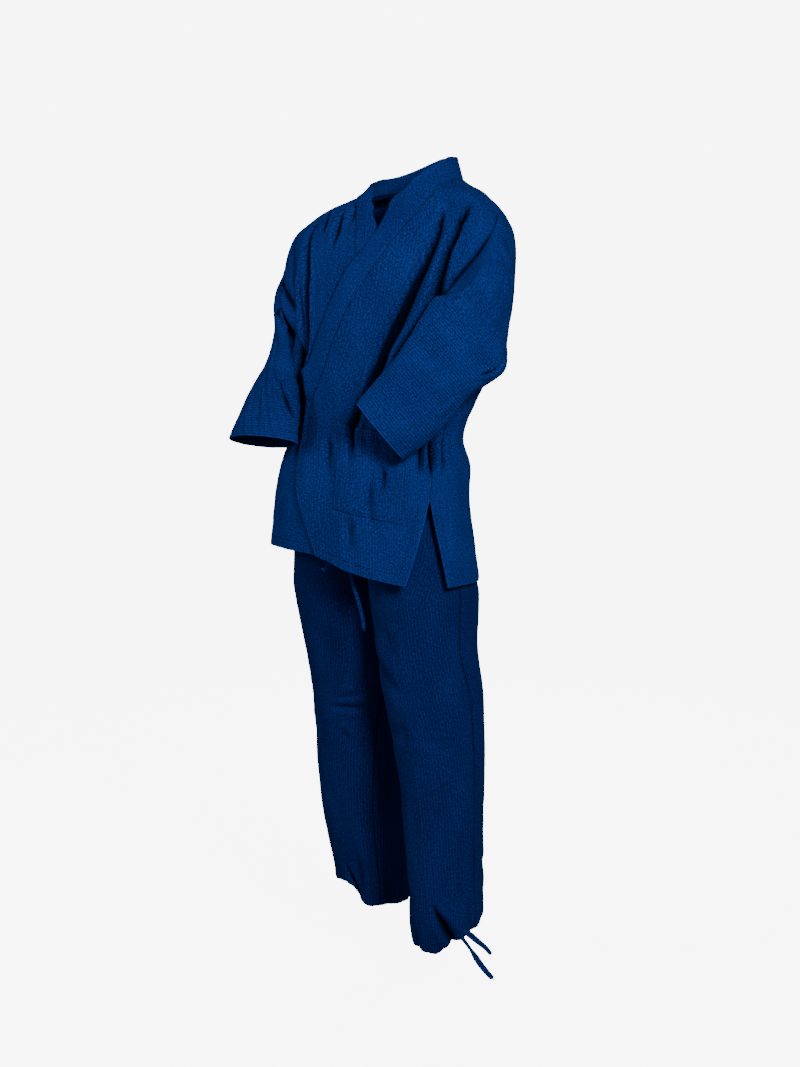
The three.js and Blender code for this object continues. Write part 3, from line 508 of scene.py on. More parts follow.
def cloth_wall(name, node, points, wrap=False, thick=CLOTH, rib="up", hem=NO_HEM,
               hem_wide=18.0, outward=1, weave=None, deep=0.0):
    """
    A closed cloth wall round a grid of points in its middle. rib says which way the ribs
    run and weave where each point lies in the cloth; hem gives its distance to a turned
    edge, where the cloth is double; deep is how far it lies down in a fold, with more added
    by some seams, and sets how much painted shade darkens its colour there.
    """
    rows, cols = points.shape[0] - 1, points.shape[1] - 1
    across, up = lengths(points) if weave is None else weave
    if weave is None:
        middle = round(cols / 2)
        across = across - across[:, middle:middle + 1]
    hem = hem + np.zeros(points.shape[:2])
    # painted shade: how much of each point's colour is darkened for how deep it lies in a fold
    shade = ease(deep, *PAINTED_FOLD_SHADE) + np.zeros(points.shape[:2])
    half = thick / 2 * (1 + 0.75 * (1 - ease(hem, hem_wide - 1.5, hem_wide + 1.5)))
    out = grid_normals(points, wrap) * outward
    ring = cols if wrap else cols + 1
    outer = (points + out * half[..., None])[:, :ring]
    inner = (points - out * half[..., None])[:, :ring]
    verts = np.concatenate([outer.reshape(-1, 3), inner.reshape(-1, 3)])
    size = ring * (rows + 1)
    first, second = (across, up) if rib == "up" else (up, across)
    place = np.stack([first, second, hem, shade], axis=-1)
    faces, places = [], []

    def add(quad, quad_place):
        faces.append(quad[:, ::outward])
        places.append(quad_place[:, ::outward])

    def rim(row, col):
        """Quads that close an edge, along its grid spots."""
        row, col = np.broadcast_arrays(row, col)
        a, at = row * ring + col % ring, place[row, col]
        add(np.stack([a[:-1], a[:-1] + size, a[1:] + size, a[1:]], axis=1),
            np.stack([at[:-1], at[:-1], at[1:], at[1:]], axis=1))

    front = quads(rows, cols, lambda r, c: r * ring + c % ring)
    front_place = quads(rows, cols, lambda r, c: place[r, c])
    add(front, front_place)
    add(front[:, ::-1] + size, front_place[:, ::-1])
    rim(0, np.arange(cols + 1))
    rim(rows, np.arange(cols, -1, -1))
    if not wrap:
        rim(np.arange(rows, -1, -1), 0)
        rim(np.arange(rows + 1), cols)
    flat = np.concatenate([np.full(len(f), n > 1) for n, f in enumerate(faces)])
    corner = np.concatenate(places).reshape(-1, 4)
    return declare(mesh_object(name, verts, np.concatenate(faces), corner[:, :3], flat,
                               corner[:, 3]), node)


def sew(distance, depth=1.6, reach=3.5):
    """How far cloth turns in beside a seam, by the distance to it."""
    return depth * np.exp(-(distance / reach) ** 1.3)


# ---------- cords and tapes ----------
def run_along(path):
    """Distance run along a path at each of its points."""
    return np.concatenate([[0], np.cumsum(np.linalg.norm(np.diff(path, axis=0), axis=1))])


def smooth_path(points, count):
    """Points at even steps along a Catmull-Rom curve."""
    p = np.array(points, float)
    p = np.concatenate([[2 * p[0] - p[1]], p, [2 * p[-1] - p[-2]]])
    t = np.linspace(0, 1, 24, endpoint=False)[:, None]
    dense = [catmull(*p[k:k + 4], t) for k in range(len(p) - 3)]
    dense = np.concatenate([*dense, p[-2:-1]])
    run = run_along(dense)
    even = np.linspace(0, run[-1], count)
    return np.stack([np.interp(even, run, dense[:, n]) for n in range(3)], axis=1)


TAPE_SIDES = 16
TAPE_ROUND = 14         # mm of cloth once round a tape


def tube(name, path, wide, thick, face, closed=False, stitched=0.0):
    """
    A tape or cord along a path: wide across and thick, both along the path or constant,
    with its flat side towards face. stitched presses a line in along its middle.
    """
    count, around = len(path), TAPE_SIDES
    wide, thick = wide + np.zeros(count), thick + np.zeros(count)
    if closed:
        ahead = unit(np.roll(path, -1, axis=0) - np.roll(path, 1, axis=0))
    else:
        ahead = unit(np.gradient(path, axis=0))
    up = np.broadcast_to(np.asarray(face, float), path.shape)
    across = unit(np.cross(ahead, up))
    up = np.cross(across, ahead)
    turn = np.arange(around) / around * 2 * math.pi
    x = power(np.cos(turn), 0.7)[None, :] * wide[:, None] / 2
    y = power(np.sin(turn), 0.7)[None, :] * thick[:, None] / 2
    y = y * (1 - stitched * np.exp(-(x / 0.6) ** 2))
    rings = path[:, None] + across[:, None] * x[..., None] + up[:, None] * y[..., None]
    last = count if closed else count - 1
    run = run_along(path)
    run = np.append(run, run[-1])
    faces = quads(last, around, lambda r, c: r % count * around + c % around)
    cloth = quads(last, around, lambda r, c: np.stack(
        [c / around * TAPE_ROUND, run[r], np.full(r.shape, NO_HEM)], axis=1))
    if not closed:
        k = np.arange(around // 2 - 1)
        cap = np.stack([k, k + 1, around - k - 2, around - k - 1], axis=1)
        caps = [cap[:, ::-1], cap + (count - 1) * around]
        ends = [np.tile((0, run[n], NO_HEM), (len(k), 4, 1)) for n in (0, count - 1)]
        faces, cloth = np.concatenate([faces, *caps]), np.concatenate([cloth, *ends])
    return mesh_object(name, rings.reshape(-1, 3), faces, cloth.reshape(-1, 3))


def free_end(name, node, route, wide, thick, face, taper=((0, 1), (1, 1)),
             stitched=0.35):
    """A free end of a tie: its tube, put on the root body in place of its CAD node."""
    path = smooth_path(route, 40)
    t = np.linspace(0, 1, len(path))
    width = wide * np.interp(t, *taper)
    tip = np.minimum(1, 0.35 + 0.65 * np.sqrt(np.clip((1 - t) / 0.03, 0, 1)))
    piece = declare(tube(name, path, width * tip, thick * tip, face, stitched=stitched), node)
    return piece


DRAWSTRING = {
    "a": [
        (-33.5, -151, 1069), (-32, -155, 1045), (-29, -163, 1010), (-25, -173, 965),
        (-19, -181, 920), (-12, -186, 880), (-4, -186, 840), (5, -183, 805),
        (10, -180, 775), (15, -172, 745), (19, -165, 715), (21, -161, 684),
    ],
    "b": [
        (-42.5, -151, 1069), (-44, -155, 1045), (-45, -163, 1010), (-44, -174, 960),
        (-40, -184, 915), (-36, -189, 870), (-32, -194, 835), (-32, -197, 815),
        (-35, -200, 803), (-41, -204, 798), (-45, -207, 801),
    ],
}
ANKLE = {
    "left": [
        [(189.3, -73, 129), (193, -60, 120), (201, -48, 107), (212, -35, 92), (218, -27, 79)],
        [(189.4, -77.6, 117), (191, -64, 101), (197, -53, 82), (204, -40, 59), (213, -28, 40),
         (218, -21, 31)],
    ],
    "right": [
        [(-216.5, 82.8, 146), (-219, 87, 132), (-222, 93, 112), (-223, 95, 92), (-223, 96, 76)],
        [(-212.1, 89.3, 139), (-214, 94, 122), (-216, 100, 102), (-216, 102, 82), (-215, 103, 66)],
    ],
}
# The jacket's tie on the right front: angle, height and distance off its cloth.
TIE_KNOT = (-36.5, 1118, 8)
TIE_ENDS = {
    "a": [(-35.3, 1108, 8.2), (-34.5, 1090, 10), (-34.5, 1070, 13), (-34, 1050, 15),
          (-34, 1034, 15)],
    "b": [(-38.3, 1108.3, 6), (-39, 1092, 6), (-39, 1074, 8), (-39, 1058, 10)],
}


def off_front(spot):
    angle, z, off = spot
    lift = -TIE_UNDERLAP * ease(angle, -48, -30)
    out = normal_of(lambda u, v: body(u, v, lift), np.array(angle), np.array(z), 0.5, 2)
    return body(angle, z, lift) + out * off


# How the ankle ties' width changes: places along, from 0 to 1, and shares of the width.
ANKLE_TAPERS = {
    "a": ((0, 0.25, 0.6, 1), (0.8, 1.15, 1.0, 0.72)),
    "b": ((0, 0.3, 0.5, 0.8, 1), (0.75, 0.6, 1.15, 1.05, 0.9)),
}

tapes, jacket_cords = [], []
for end, route in DRAWSTRING.items():
    tapes.append(free_end(f"drawstring_{end}", f"drawstring_end_{end}", route, 7, 2.6,
                          (0.55, -0.83, 0), stitched=0.25))
for side, routes in ANKLE.items():
    for end, route in zip("ab", routes):
        node = f"ankle_tie_{side}_{end}"
        tapes.append(free_end(f"{node}_tape", node, route, 10.5, 2.4, (0.67, -0.74, 0.1),
                              ANKLE_TAPERS[end]))
for end, route in TIE_ENDS.items():
    path = [off_front(spot) for spot in route]
    jacket_cords.append(free_end(f"tie_{end}", f"tie_end_{end}", path, 8, 2.6,
                                 (-0.55, -0.83, 0)))


# ---------- the jacket's body ----------
def body_weave(angle, z, middle):
    """Place in the cloth: across, from the angle in the middle of a panel, and up."""
    wide, ahead, behind = BODY(z)[:3]
    radius = (wide + (ahead + behind) / 2) / 2
    return np.radians(angle - middle) * radius, z


def front_grid(side):
    """Angles and heights of a front's grid."""
    sign = SIGN[side]
    outer_angle, outer_z = outer_line(side, 1)
    inner_z = inner_heights()
    sewn = BAND[side](inner_z)[0] + 0.06
    edge = mix(-FRONT_EDGE(inner_z)[0], sewn, ease(inner_z, BAND_END, BAND_END + 55))
    inner_angle = sign * edge
    s = np.linspace(0, 1, FRONT_COLUMNS[side] + 1)
    angle = mix(inner_angle[:, None], outer_angle[:, None], s)
    z = mix(inner_z[:, None], outer_z[:, None], s)
    return angle, raised(angle, z)


def valley(side, turn):
    """Where the armhole seam is drawn in deep, between the chest and the sleeve head."""
    drawn = ease(turn, 34, 52) * (1 - ease(turn, 84, 104))
    return drawn * (1.0 if side == "left" else 0.3)


def body_panel(name, node, angle, z, lift, dip, shade=0.0, **look):
    """A panel of cloth on the jacket's body, with its folds; their depth, and shade on top of it,
    give its painted shade.
    """
    return cloth_wall(name, node, body_cloth(angle, z, lift, dip),
                      deep=body_folds(angle, z) + shade, **look)


def seam_dip(distance, drawn=0.0):
    """How far a panel turns in beside its side seam and its armhole."""
    depth, reach = (np.where(AT_ARMHOLE, mix(plain, deepest, drawn), beside)
                    for plain, deepest, beside in zip(ARMHOLE_SEW, VALLEY_SEW, SIDE_SEW))
    return sew(distance, depth, reach)


def front(side):
    angle, z = front_grid(side)
    lift = lap_lift(side, angle)
    across, up = lengths(body(angle, z, lift))
    to_outer = across[:, -1:] - across
    row_z = inner_heights()[:, None]
    banded = row_z >= BAND_END
    slit = row_z < SLIT_TOP
    past_seam = (BAND[side](z)[0] - SIGN[side] * angle) * BODY_MM
    under = ease(past_seam, -1.5, 1.5) * ease(z, BAND_END + 1, BAND_END + 10)
    drawn = valley(side, 180 * (1 - (ROW - ROWS["side"]) / ROWS["arm"]))
    dip = np.where(banded, sew(np.abs(past_seam)), 0.0) + UNDER_BAND * under
    dip = dip + np.where(slit, 0.0, seam_dip(to_outer, drawn))
    hem = np.minimum(up, np.where(banded, NO_HEM, across))
    hem = np.minimum(hem, np.where(slit, to_outer, NO_HEM))
    # painted shade along the drawn-in valley beside the armhole, deeper than the cloth is pressed
    # in
    shade = np.where(AT_ARMHOLE & ~slit, sew(to_outer, PAINTED_VALLEY_SHADE * drawn, 7), 0.0)
    return body_panel(f"jacket_front_{side}", f"front_{side}", angle, z, lift, dip, shade,
                      hem=hem, outward=SIGN[side],
                      weave=body_weave(angle, z, SIGN[side] * 45))


def back():
    left_angle, left_z = outer_line("left", -1)
    right_angle, right_z = outer_line("right", -1)
    s = np.linspace(0, 1, BACK_COLUMNS + 1)
    angle = mix(left_angle[:, None], right_angle[:, None] + 360, s)
    z = raised(angle, mix(left_z[:, None], right_z[:, None], s))
    across, up = lengths(body(angle, z))
    near = np.minimum(across, across[:, -1:] - across)
    slit = (mix(left_z, right_z, 0.5)[:, None] < SLIT_TOP) & (ROW < ROWS["side"])
    dip = np.where(slit, 0.0, seam_dip(near))
    dip = dip + sew(np.abs(across - across[:, -1:] / 2), 0.9, 2.5)
    dip = dip + np.where(np.abs(angle - 180) < 88, sew(up[-1:] - up, 1.2), 0.0)
    hem = np.minimum(up, np.where(slit, near, NO_HEM))
    return body_panel("jacket_back", "back", angle, z, 0.0, dip, hem=hem,
                      weave=body_weave(angle, z, 180))


def collar_band():
    """The collar band: up the left front, round the neck and down the right front."""
    half = {}
    for side in SIDES:
        low = np.linspace(BAND_END + 0.6, ARMHOLE_BOTTOM, 16)[:-1]
        z = np.concatenate([low, inner_heights()[ROWS["side"]:]])
        sewn, free, rise = BAND[side](z)
        half[side] = [SIGN[side] * sewn, z, SIGN[side] * free, z + rise]
    behind = np.linspace(90, 270, 80)[1:-1]
    stand = mix(BAND_STAND["left"], BAND_STAND["right"], ease(behind, 150, 260))
    neck = np.full(behind.shape, NECK_SEAM)
    around = (360, 0, 360, 0)
    right = [part[::-1] + turn for part, turn in zip(half["right"], around)]
    joined = zip(half["left"], (behind, neck, behind, neck + stand), right)
    sewn_angle, sewn_z, free_angle, free_z = [np.concatenate(parts) for parts in joined]
    order = np.arange(len(sewn_angle))
    is_left = order < len(half["left"][1])
    is_right = order >= len(half["left"][1]) + len(behind)

    def lift_of(angle):
        return np.where(is_left, lap_lift("left", unturned(angle)),
                        np.where(is_right, lap_lift("right", unturned(angle)), 0.0))

    t = np.linspace(0, 1, 23)[:, None]
    angle = mix(sewn_angle, free_angle, t)
    z = mix(sewn_z + 0.3, free_z, t)
    lift = mix(lift_of(sewn_angle), lift_of(free_angle), t)
    _, up = lengths(body(angle, z, lift))
    end = np.where(is_left | is_right, 1 - ease(z, BAND_END, BAND_END + 14), 0.0)
    crown = 2.2 * np.sin(np.pi * np.clip(up / up[-1:], 0, 1)) ** 0.8 * (1 - end)
    dip = sew(up, 1.8, 3.0) - crown + 0.9 * end
    return body_panel("jacket_collar_band", "collar_band", angle, z, lift, dip, thick=2.6,
                      rib="across")


# The pocket's bottom and top at its left and right end, and its sides at the bottom and
# top, in elevenths of the front's width.
POCKET = {"bottom": (902, 890), "top": (1067, 1048), "left": (3.05, 3.67), "right": (8.8, 8.4)}
POCKET_WIDE, POCKET_TALL = 105, 160
POCKET_COLUMNS, POCKET_ROWS = 62, 66


def pocket():
    """The patch pocket, which follows the left front a little way off it."""
    angle, z = front_grid("left")
    s = np.linspace(0, 1, POCKET_COLUMNS + 1)[None, :]
    t = np.linspace(0, 1, POCKET_ROWS + 1)[:, None]
    height = mix(mix(*POCKET["bottom"], s), mix(*POCKET["top"], s), t)
    column = mix(mix(*POCKET["left"], t), mix(*POCKET["right"], t), s) / 11 * FRONT_COLUMNS["left"]
    row_z = inner_heights()
    k = np.clip(np.searchsorted(row_z, height) - 1, 0, len(row_z) - 2)
    v = (height - row_z[k]) / (row_z[k + 1] - row_z[k])
    i = np.floor(column).astype(int)
    u = column - i

    def blend(field):
        low = mix(field[k, i], field[k, i + 1], u)
        high = mix(field[k + 1, i], field[k + 1, i + 1], u)
        return mix(low, high, v)

    a, h = blend(angle), blend(z)
    from_edge = np.minimum(np.minimum(s, 1 - s) * POCKET_WIDE, t * POCKET_TALL)
    belly = 1.6 * ease(from_edge, 0, 14) + 2.4 * ease(t, 0.75, 1) * np.sin(np.pi * s)
    rest = 1.9 + belly - 0.5 * np.exp(-((from_edge - 3) / 2) ** 2)
    return body_panel("jacket_pocket", "pocket_left", a, h, lap_lift("left", a), -rest,
                      hem=(1 - t) * POCKET_TALL, hem_wide=24.0, thick=1.2,
                      weave=body_weave(a, h, 45))


# ---------- sleeves ----------
# Stations down each sleeve: its outer and inner edge, half its depth, and the turn and
# tilt of its face in degrees.
SLEEVES = {
    "left": [
        [212, -10, 1440, 200, -35, 1160, 60, 10, 0],
        [228, -5, 1390, 200, -88, 1262, 57, 15, 0],
        [237, -13, 1313, 182, -131, 1304, 54, 22, 0],
        [241, -20, 1225, 160, -156, 1268, 50, 30, 0],
        [243, -33, 1168, 134, -186, 1206, 46, 36, 0],
        [212, -90, 1126, 115, -199, 1180, 42, 40, 0],
        [164, -133, 1052, 87, -211, 1144, 38, 42, 0],
        [128, -174, 1013, 67, -229, 1112, 36, 42, 0],
    ],
    "right": [
        [-222, -25, 1426, -205, -62, 1160, 54, 38, 0],
        [-238, -22, 1390, -188, -110, 1186, 56, 38, 0],
        [-270, -40, 1344, -172, -128, 1188, 54, 34, 0],
        [-278, -68, 1286, -156, -149, 1178, 49, 31, 0],
        [-256, -77, 1219, -144, -170, 1156, 44, 30, 0],
        [-250, -108, 1164, -130, -195, 1128, 40, 32, 0],
        [-272, -154, 1098, -116, -208, 1080, 38, 32, 10],
        [-276, -207, 1022, -107, -211, 1031, 38, 30, 20],
    ],
}
SLEEVE_AROUND, SLEEVE_ROWS = 170, 144
ARMHOLE_BLEND = 0.16    # share of the sleeve in which its head turns into a tube
SLEEVE_CLEAR = {"left": (4, 4), "right": (8, 5)}   # off the body, low down and higher up

# Folds of the sleeves: (turn, along in mm, half width, depth) at each station.
SLEEVE_CREASES = {
    "left": [
        [(138, 212, 3), (142, 224, 3, -2), (147, 240, 3, -2.5), (154, 282, 3, -2.5), (168, 312, 3)],
        [(150, 196, 3), (145, 198, 3.5, 6), (138, 197, 3.5, 6), (128, 195, 3)],
        [(34, 262, 4), (40, 275, 6, 16), (46, 283, 6, 16), (58, 288, 5)],
        [(-12, 196, 5), (-24, 214, 6, 7), (-44, 232, 6, 5), (-70, 240, 6)],
        [(150, 110, 6), (120, 160, 8, 3), (80, 215, 9)],
        [(300, 60, 8), (280, 120, 10, 8), (255, 200, 10, 6), (240, 240, 9)],
        [(330, 90, 7), (300, 160, 9, 7), (270, 240, 9)],
        [(200, 80, 6), (215, 140, 8, 6), (235, 210, 8)],
    ],
    "right": [
        [(80, 86, 5), (87, 66, 8, 9), (94, 38, 10, 13), (99, 10, 9, 10)],
        [(106, 118, 5), (114, 88, 8, 10), (119, 50, 10, 13), (122, 12, 9, 12)],
        [(140, 175, 4), (158, 207, 6, 10), (171, 231, 7, 14), (192, 262, 8, 15), (206, 300, 8, 12),
         (210, 330, 7)],
        [(120, 190, 4), (138, 186, 5, 6), (160, 180, 5, 6), (176, 178, 5)],
        [(96, 235, 5), (100, 290, 6, 4), (104, 350, 6)],
        [(300, 100, 8), (280, 160, 10, 8), (250, 240, 10)],
        [(330, 150, 7), (300, 210, 9, 8), (262, 280, 9)],
        [(315, 280, 7), (290, 320, 8, 5), (260, 350, 8)],
    ],
}


def between(rows, t):
    """Rows of a list at t from 0 to 1, on a smooth curve through them."""
    table = np.array(rows, float)
    q = np.clip(t, 0, 1) * (len(table) - 1)
    i = np.minimum(np.floor(q).astype(int), len(table) - 2)
    f = (q - i)[..., None]
    a, b = table[np.maximum(i - 1, 0)], table[i]
    c, d = table[i + 1], table[np.minimum(i + 2, len(table) - 1)]
    return np.moveaxis(catmull(a, b, c, d, f), -1, 0)


def off_body(point, clear, along):
    """Sleeve points moved straight out from the body where they would lie in or on it."""
    x, y, z = np.moveaxis(point, -1, 0)
    row = BODY(z)
    turn = np.radians(row[5])
    dx, dy = x - row[3], y - row[4]
    across = dx * np.cos(turn) + dy * np.sin(turn)
    ahead = dx * np.sin(turn) - dy * np.cos(turn)
    angle = np.degrees(np.arctan2(across, ahead))
    wide, front_deep, back_deep, _, _, _, square = BODY(z + drop(angle, z))
    deep = np.where(ahead > 0, front_deep, back_deep)
    ratio = ((np.abs(across) / wide) ** square + (np.abs(ahead) / deep) ** square) ** (1 / square)
    radius = np.hypot(across, ahead)
    gap = radius - radius / ratio
    off = mix(*clear, ease(z, 1150, 1230))
    wanted = (off + lap_lift("left", angle)) * ease(along, 0, 0.15)
    soft = 5 * ease(along, 0, 0.12)
    eased = (gap + wanted) / 2 + np.sqrt(((gap - wanted) / 2) ** 2 + soft ** 2)
    push = (eased - gap) / radius
    return np.stack([x + dx * push, y + dy * push, z], axis=-1)


def sleeve_form(side, turn, along):
    turn, along = grids(turn, along)
    row = between(SLEEVES[side], along)
    outer, inner = np.stack(row[0:3], axis=-1), np.stack(row[3:6], axis=-1)
    major = (outer - inner) / 2
    facing, tilt = np.radians(row[7]), np.radians(row[8])
    minor = np.stack([np.sin(facing) * np.cos(tilt), -np.cos(facing) * np.cos(tilt),
                      np.sin(tilt)], axis=-1)
    share = (minor * major).sum(-1) / (major ** 2).sum(-1)
    minor = unit(minor - major * share[..., None])
    t = np.radians(turn)
    tube_point = ((outer + inner) / 2 + major * np.cos(t)[..., None]
                  + minor * (row[6] * np.sin(t))[..., None])
    angle, z = armhole(side, turn)
    lift = lap_lift(side, angle)
    return tube_point, angle, z, lift


def sleeve(side):
    turn = np.linspace(0, 360, SLEEVE_AROUND + 1)[None, :]
    along = np.linspace(0, 1, SLEEVE_ROWS + 1)[:, None]
    tube_point, angle, z, lift = sleeve_form(side, turn, along)
    dip = mix(ARMHOLE_SEW[0], VALLEY_SEW[0], valley(side, turn))
    ring = body_cloth(angle[:1], z[:1], lift[:1], dip)
    points = mix(ring, tube_point, ease(along, 0, ARMHOLE_BLEND)[..., None])
    clear = off_body(points, SLEEVE_CLEAR[side], along)
    points = mix(points, clear, ease(along, 0, 0.05)[..., None])
    out = grid_normals(points, True) * SIGN[side]
    across, up = lengths(points)
    table = SLEEVE_CREASES[side]
    low = (turn + 90) % 360 - 90 + 0 * along
    high = turn % 360 + 0 * along
    deep = np.where(high > 180, creases(high, up, table, SLEEVE_MM),
                    creases(low, up, table, SLEEVE_MM)) * ease(up, 0, 14)
    x, y = 3.4 * np.cos(np.radians(turn)), 3.4 * np.sin(np.radians(turn))
    seed = {"left": 20, "right": 30}[side]
    soft = 2.4 * ripple(x + up / 60, y + up / 75, seed)
    soft = soft + 0.9 * ripple(x * 2.2 + up / 30, y * 2.2 - up / 40, seed + 1)
    soft = soft + 0.35 * ripple(x * 5 + up / 14, y * 5 - up / 11, seed + 2)
    soft = soft * ease(up, 12, 70) * (1 - 0.5 * ease(up, up.max() - 60, up.max()))
    puff = 1.5 * np.exp(-((up - 13) / 9) ** 2)
    # painted shade: the right sleeve's folds are pressed in less at some turns than their painted
    # shade shows, and shade along the armhole valley is painted as well
    pressed = deep
    if side == "right":
        pressed = deep * mix(0.35, 1, ease(np.abs(low), 84, 110))
    points = points + out * (soft + puff - pressed)[..., None]
    shade = deep + sew(up, PAINTED_VALLEY_SHADE * valley(side, low), 6)
    _, run = lengths(points)
    return cloth_wall(f"jacket_sleeve_{side}", f"sleeve_{side}", points, wrap=True,
                      rib="across", hem=run[-1:] - run, hem_wide=20.0, outward=SIGN[side],
                      weave=(across, up[-1:] - up), deep=shade)


# ---------- trousers ----------
# The rows of HIP and LEG say what those of BODY say.
HIP = profile([
    [748, 190, 132, 108, -38, -47, 0, 2.1],
    [800, 190, 132, 110, -38, -47, 0, 2.1],
    [850, 188, 130, 109, -38, -48, 0, 2.1],
    [930, 178, 116, 102, -38, -50, 0, 2.1],
    [1040, 158, 92, 96, -35, -52, 0, 2.1],
    [1100, 158, 92, 96, -35, -52, 0, 2.1],
])
LEG = {
    "left": profile([
        [50, 57, 60, 58, 125, -45, 10, 2],
        [84, 63, 66, 62, 124, -45, 10, 2],
        [110, 66, 71, 67, 123, -44, 10, 2],
        [190, 67, 75, 74, 117, -41, 10, 2],
        [300, 72, 80, 80, 107, -36, 10, 2],
        [400, 79, 88, 87, 98, -31, 8, 2],
        [500, 85, 96, 95, 88, -33, 8, 2],
        [580, 92, 100, 100, 78, -37, 4, 2],
        [650, 90, 100, 100, 70, -42, 0, 2],
        [748, 98, 109, 106.5, 63, -42, 0, 2],
    ]),
    "right": profile([
        [70, 66, 64, 78, -154, 50, -34, 2],
        [110, 70, 68, 80, -154, 49, -34, 2],
        [164, 69, 70, 82, -153, 44, -34, 2],
        [218, 73, 74, 84, -152, 34, -34, 2],
        [296, 77, 80, 86, -150, 21, -34, 2],
        [348, 81, 84, 88, -148, 16, -32, 2],
        [460, 88, 90, 90, -144, 10, -28, 2],
        [544, 94, 96, 96, -141, 4, -20, 2],
        [610, 94, 98, 98, -138, -12, -8, 2],
        [748, 98, 109, 105, -133, -42, 0, 2],
    ]),
}
LEG_HEM = {
    "left": profile([
        [-180, 120], [-90, 98], [-58, 91], [-10, 84], [12, 83], [30, 98], [50, 110],
        [80, 124], [122, 137], [180, 120],
    ]),
    "right": profile([
        [-180, 112], [-120, 124], [-86, 134], [-40, 140], [-8, 143], [20, 147], [34, 147],
        [45, 137], [54, 114], [62, 106], [82, 103], [157, 106], [180, 112],
    ]),
}
# Folds of the legs: (angle, height, half width, depth) at each station.
LEG_CREASES = {
    "left": [
        [(10, 182, 4), (18, 160, 6, 13), (29, 139, 9, 19), (40, 117, 9, 20), (47, 96, 7, 12)],
        [(-66, 650, 10), (-50, 630, 14, 5), (-10, 585, 16, 5), (20, 560, 14)],
        [(-60, 480, 9), (-30, 492, 12, 4), (10, 512, 12)],
        [(-85, 210, 8), (-60, 190, 11, 4), (-25, 165, 11)],
        [(72, 190, 5), (74, 160, 6, 5), (78, 128, 7, 6), (80, 100, 7, 5)],
        [(56, 250, 8), (60, 200, 10, 4), (66, 160, 10)],
        [(134, 432, 8), (150, 440, 12, 7), (170, 462, 12)],
        [(136, 508, 8), (154, 502, 12, 6), (176, 484, 12)],
        [(110, 250, 8), (140, 225, 11, 6), (175, 210, 11)],
        [(-20, 700, 8), (0, 660, 12, 4), (6, 600, 12)],
        [(-40, 160, 7), (-34, 125, 9, 5), (-30, 90, 9, 5), (-28, 70, 9, 4)],
        [(150, 200, 7), (148, 160, 9, 5), (146, 120, 9, 5)],
        [(-120, 190, 7), (-118, 150, 9, 5), (-118, 100, 9, 5)],
    ],
    "right": [
        [(22, 507, 4), (32, 510, 5, 4), (50, 513, 5, 6), (65, 512, 6, 6), (80, 506, 6)],
        [(34, 527, 4), (44, 531, 4, 4), (54, 538, 5, 5), (68, 540, 5)],
        [(40, 470, 5), (52, 452, 6, 5), (62, 420, 6)],
        [(36, 190, 4), (42, 168, 5, 8), (48, 146, 6, 13), (52, 126, 6, 12), (54, 106, 5, 6)],
        [(-90, 200, 8), (-60, 178, 11, 6), (-30, 158, 10)],
        [(-10, 260, 8), (0, 220, 10, 4), (6, 180, 9)],
        [(56, 240, 7), (60, 190, 9, 6), (62, 140, 9, 7), (62, 100, 9, 6)],
        [(-100, 420, 8), (-130, 428, 12, 8), (-165, 458, 12)],
        [(-104, 510, 8), (-140, 500, 12, 7), (-175, 470, 12)],
        [(-112, 240, 8), (-140, 218, 11, 6), (-172, 205, 11)],
        [(20, 700, 9), (12, 640, 12, 4), (8, 560, 12)],
        [(100, 200, 7), (102, 150, 9, 5), (102, 105, 9, 5)],
        [(-140, 190, 7), (-142, 150, 9, 5), (-142, 110, 9, 5)],
    ],
}
LEG_SIDE = 85           # angle of the side seam round a leg
LEG_COLUMNS, LEG_ROWS = 72, 220
BELOW_CROTCH = 0.69     # share of the rows below the crotch
PANEL = 250             # width of a leg panel


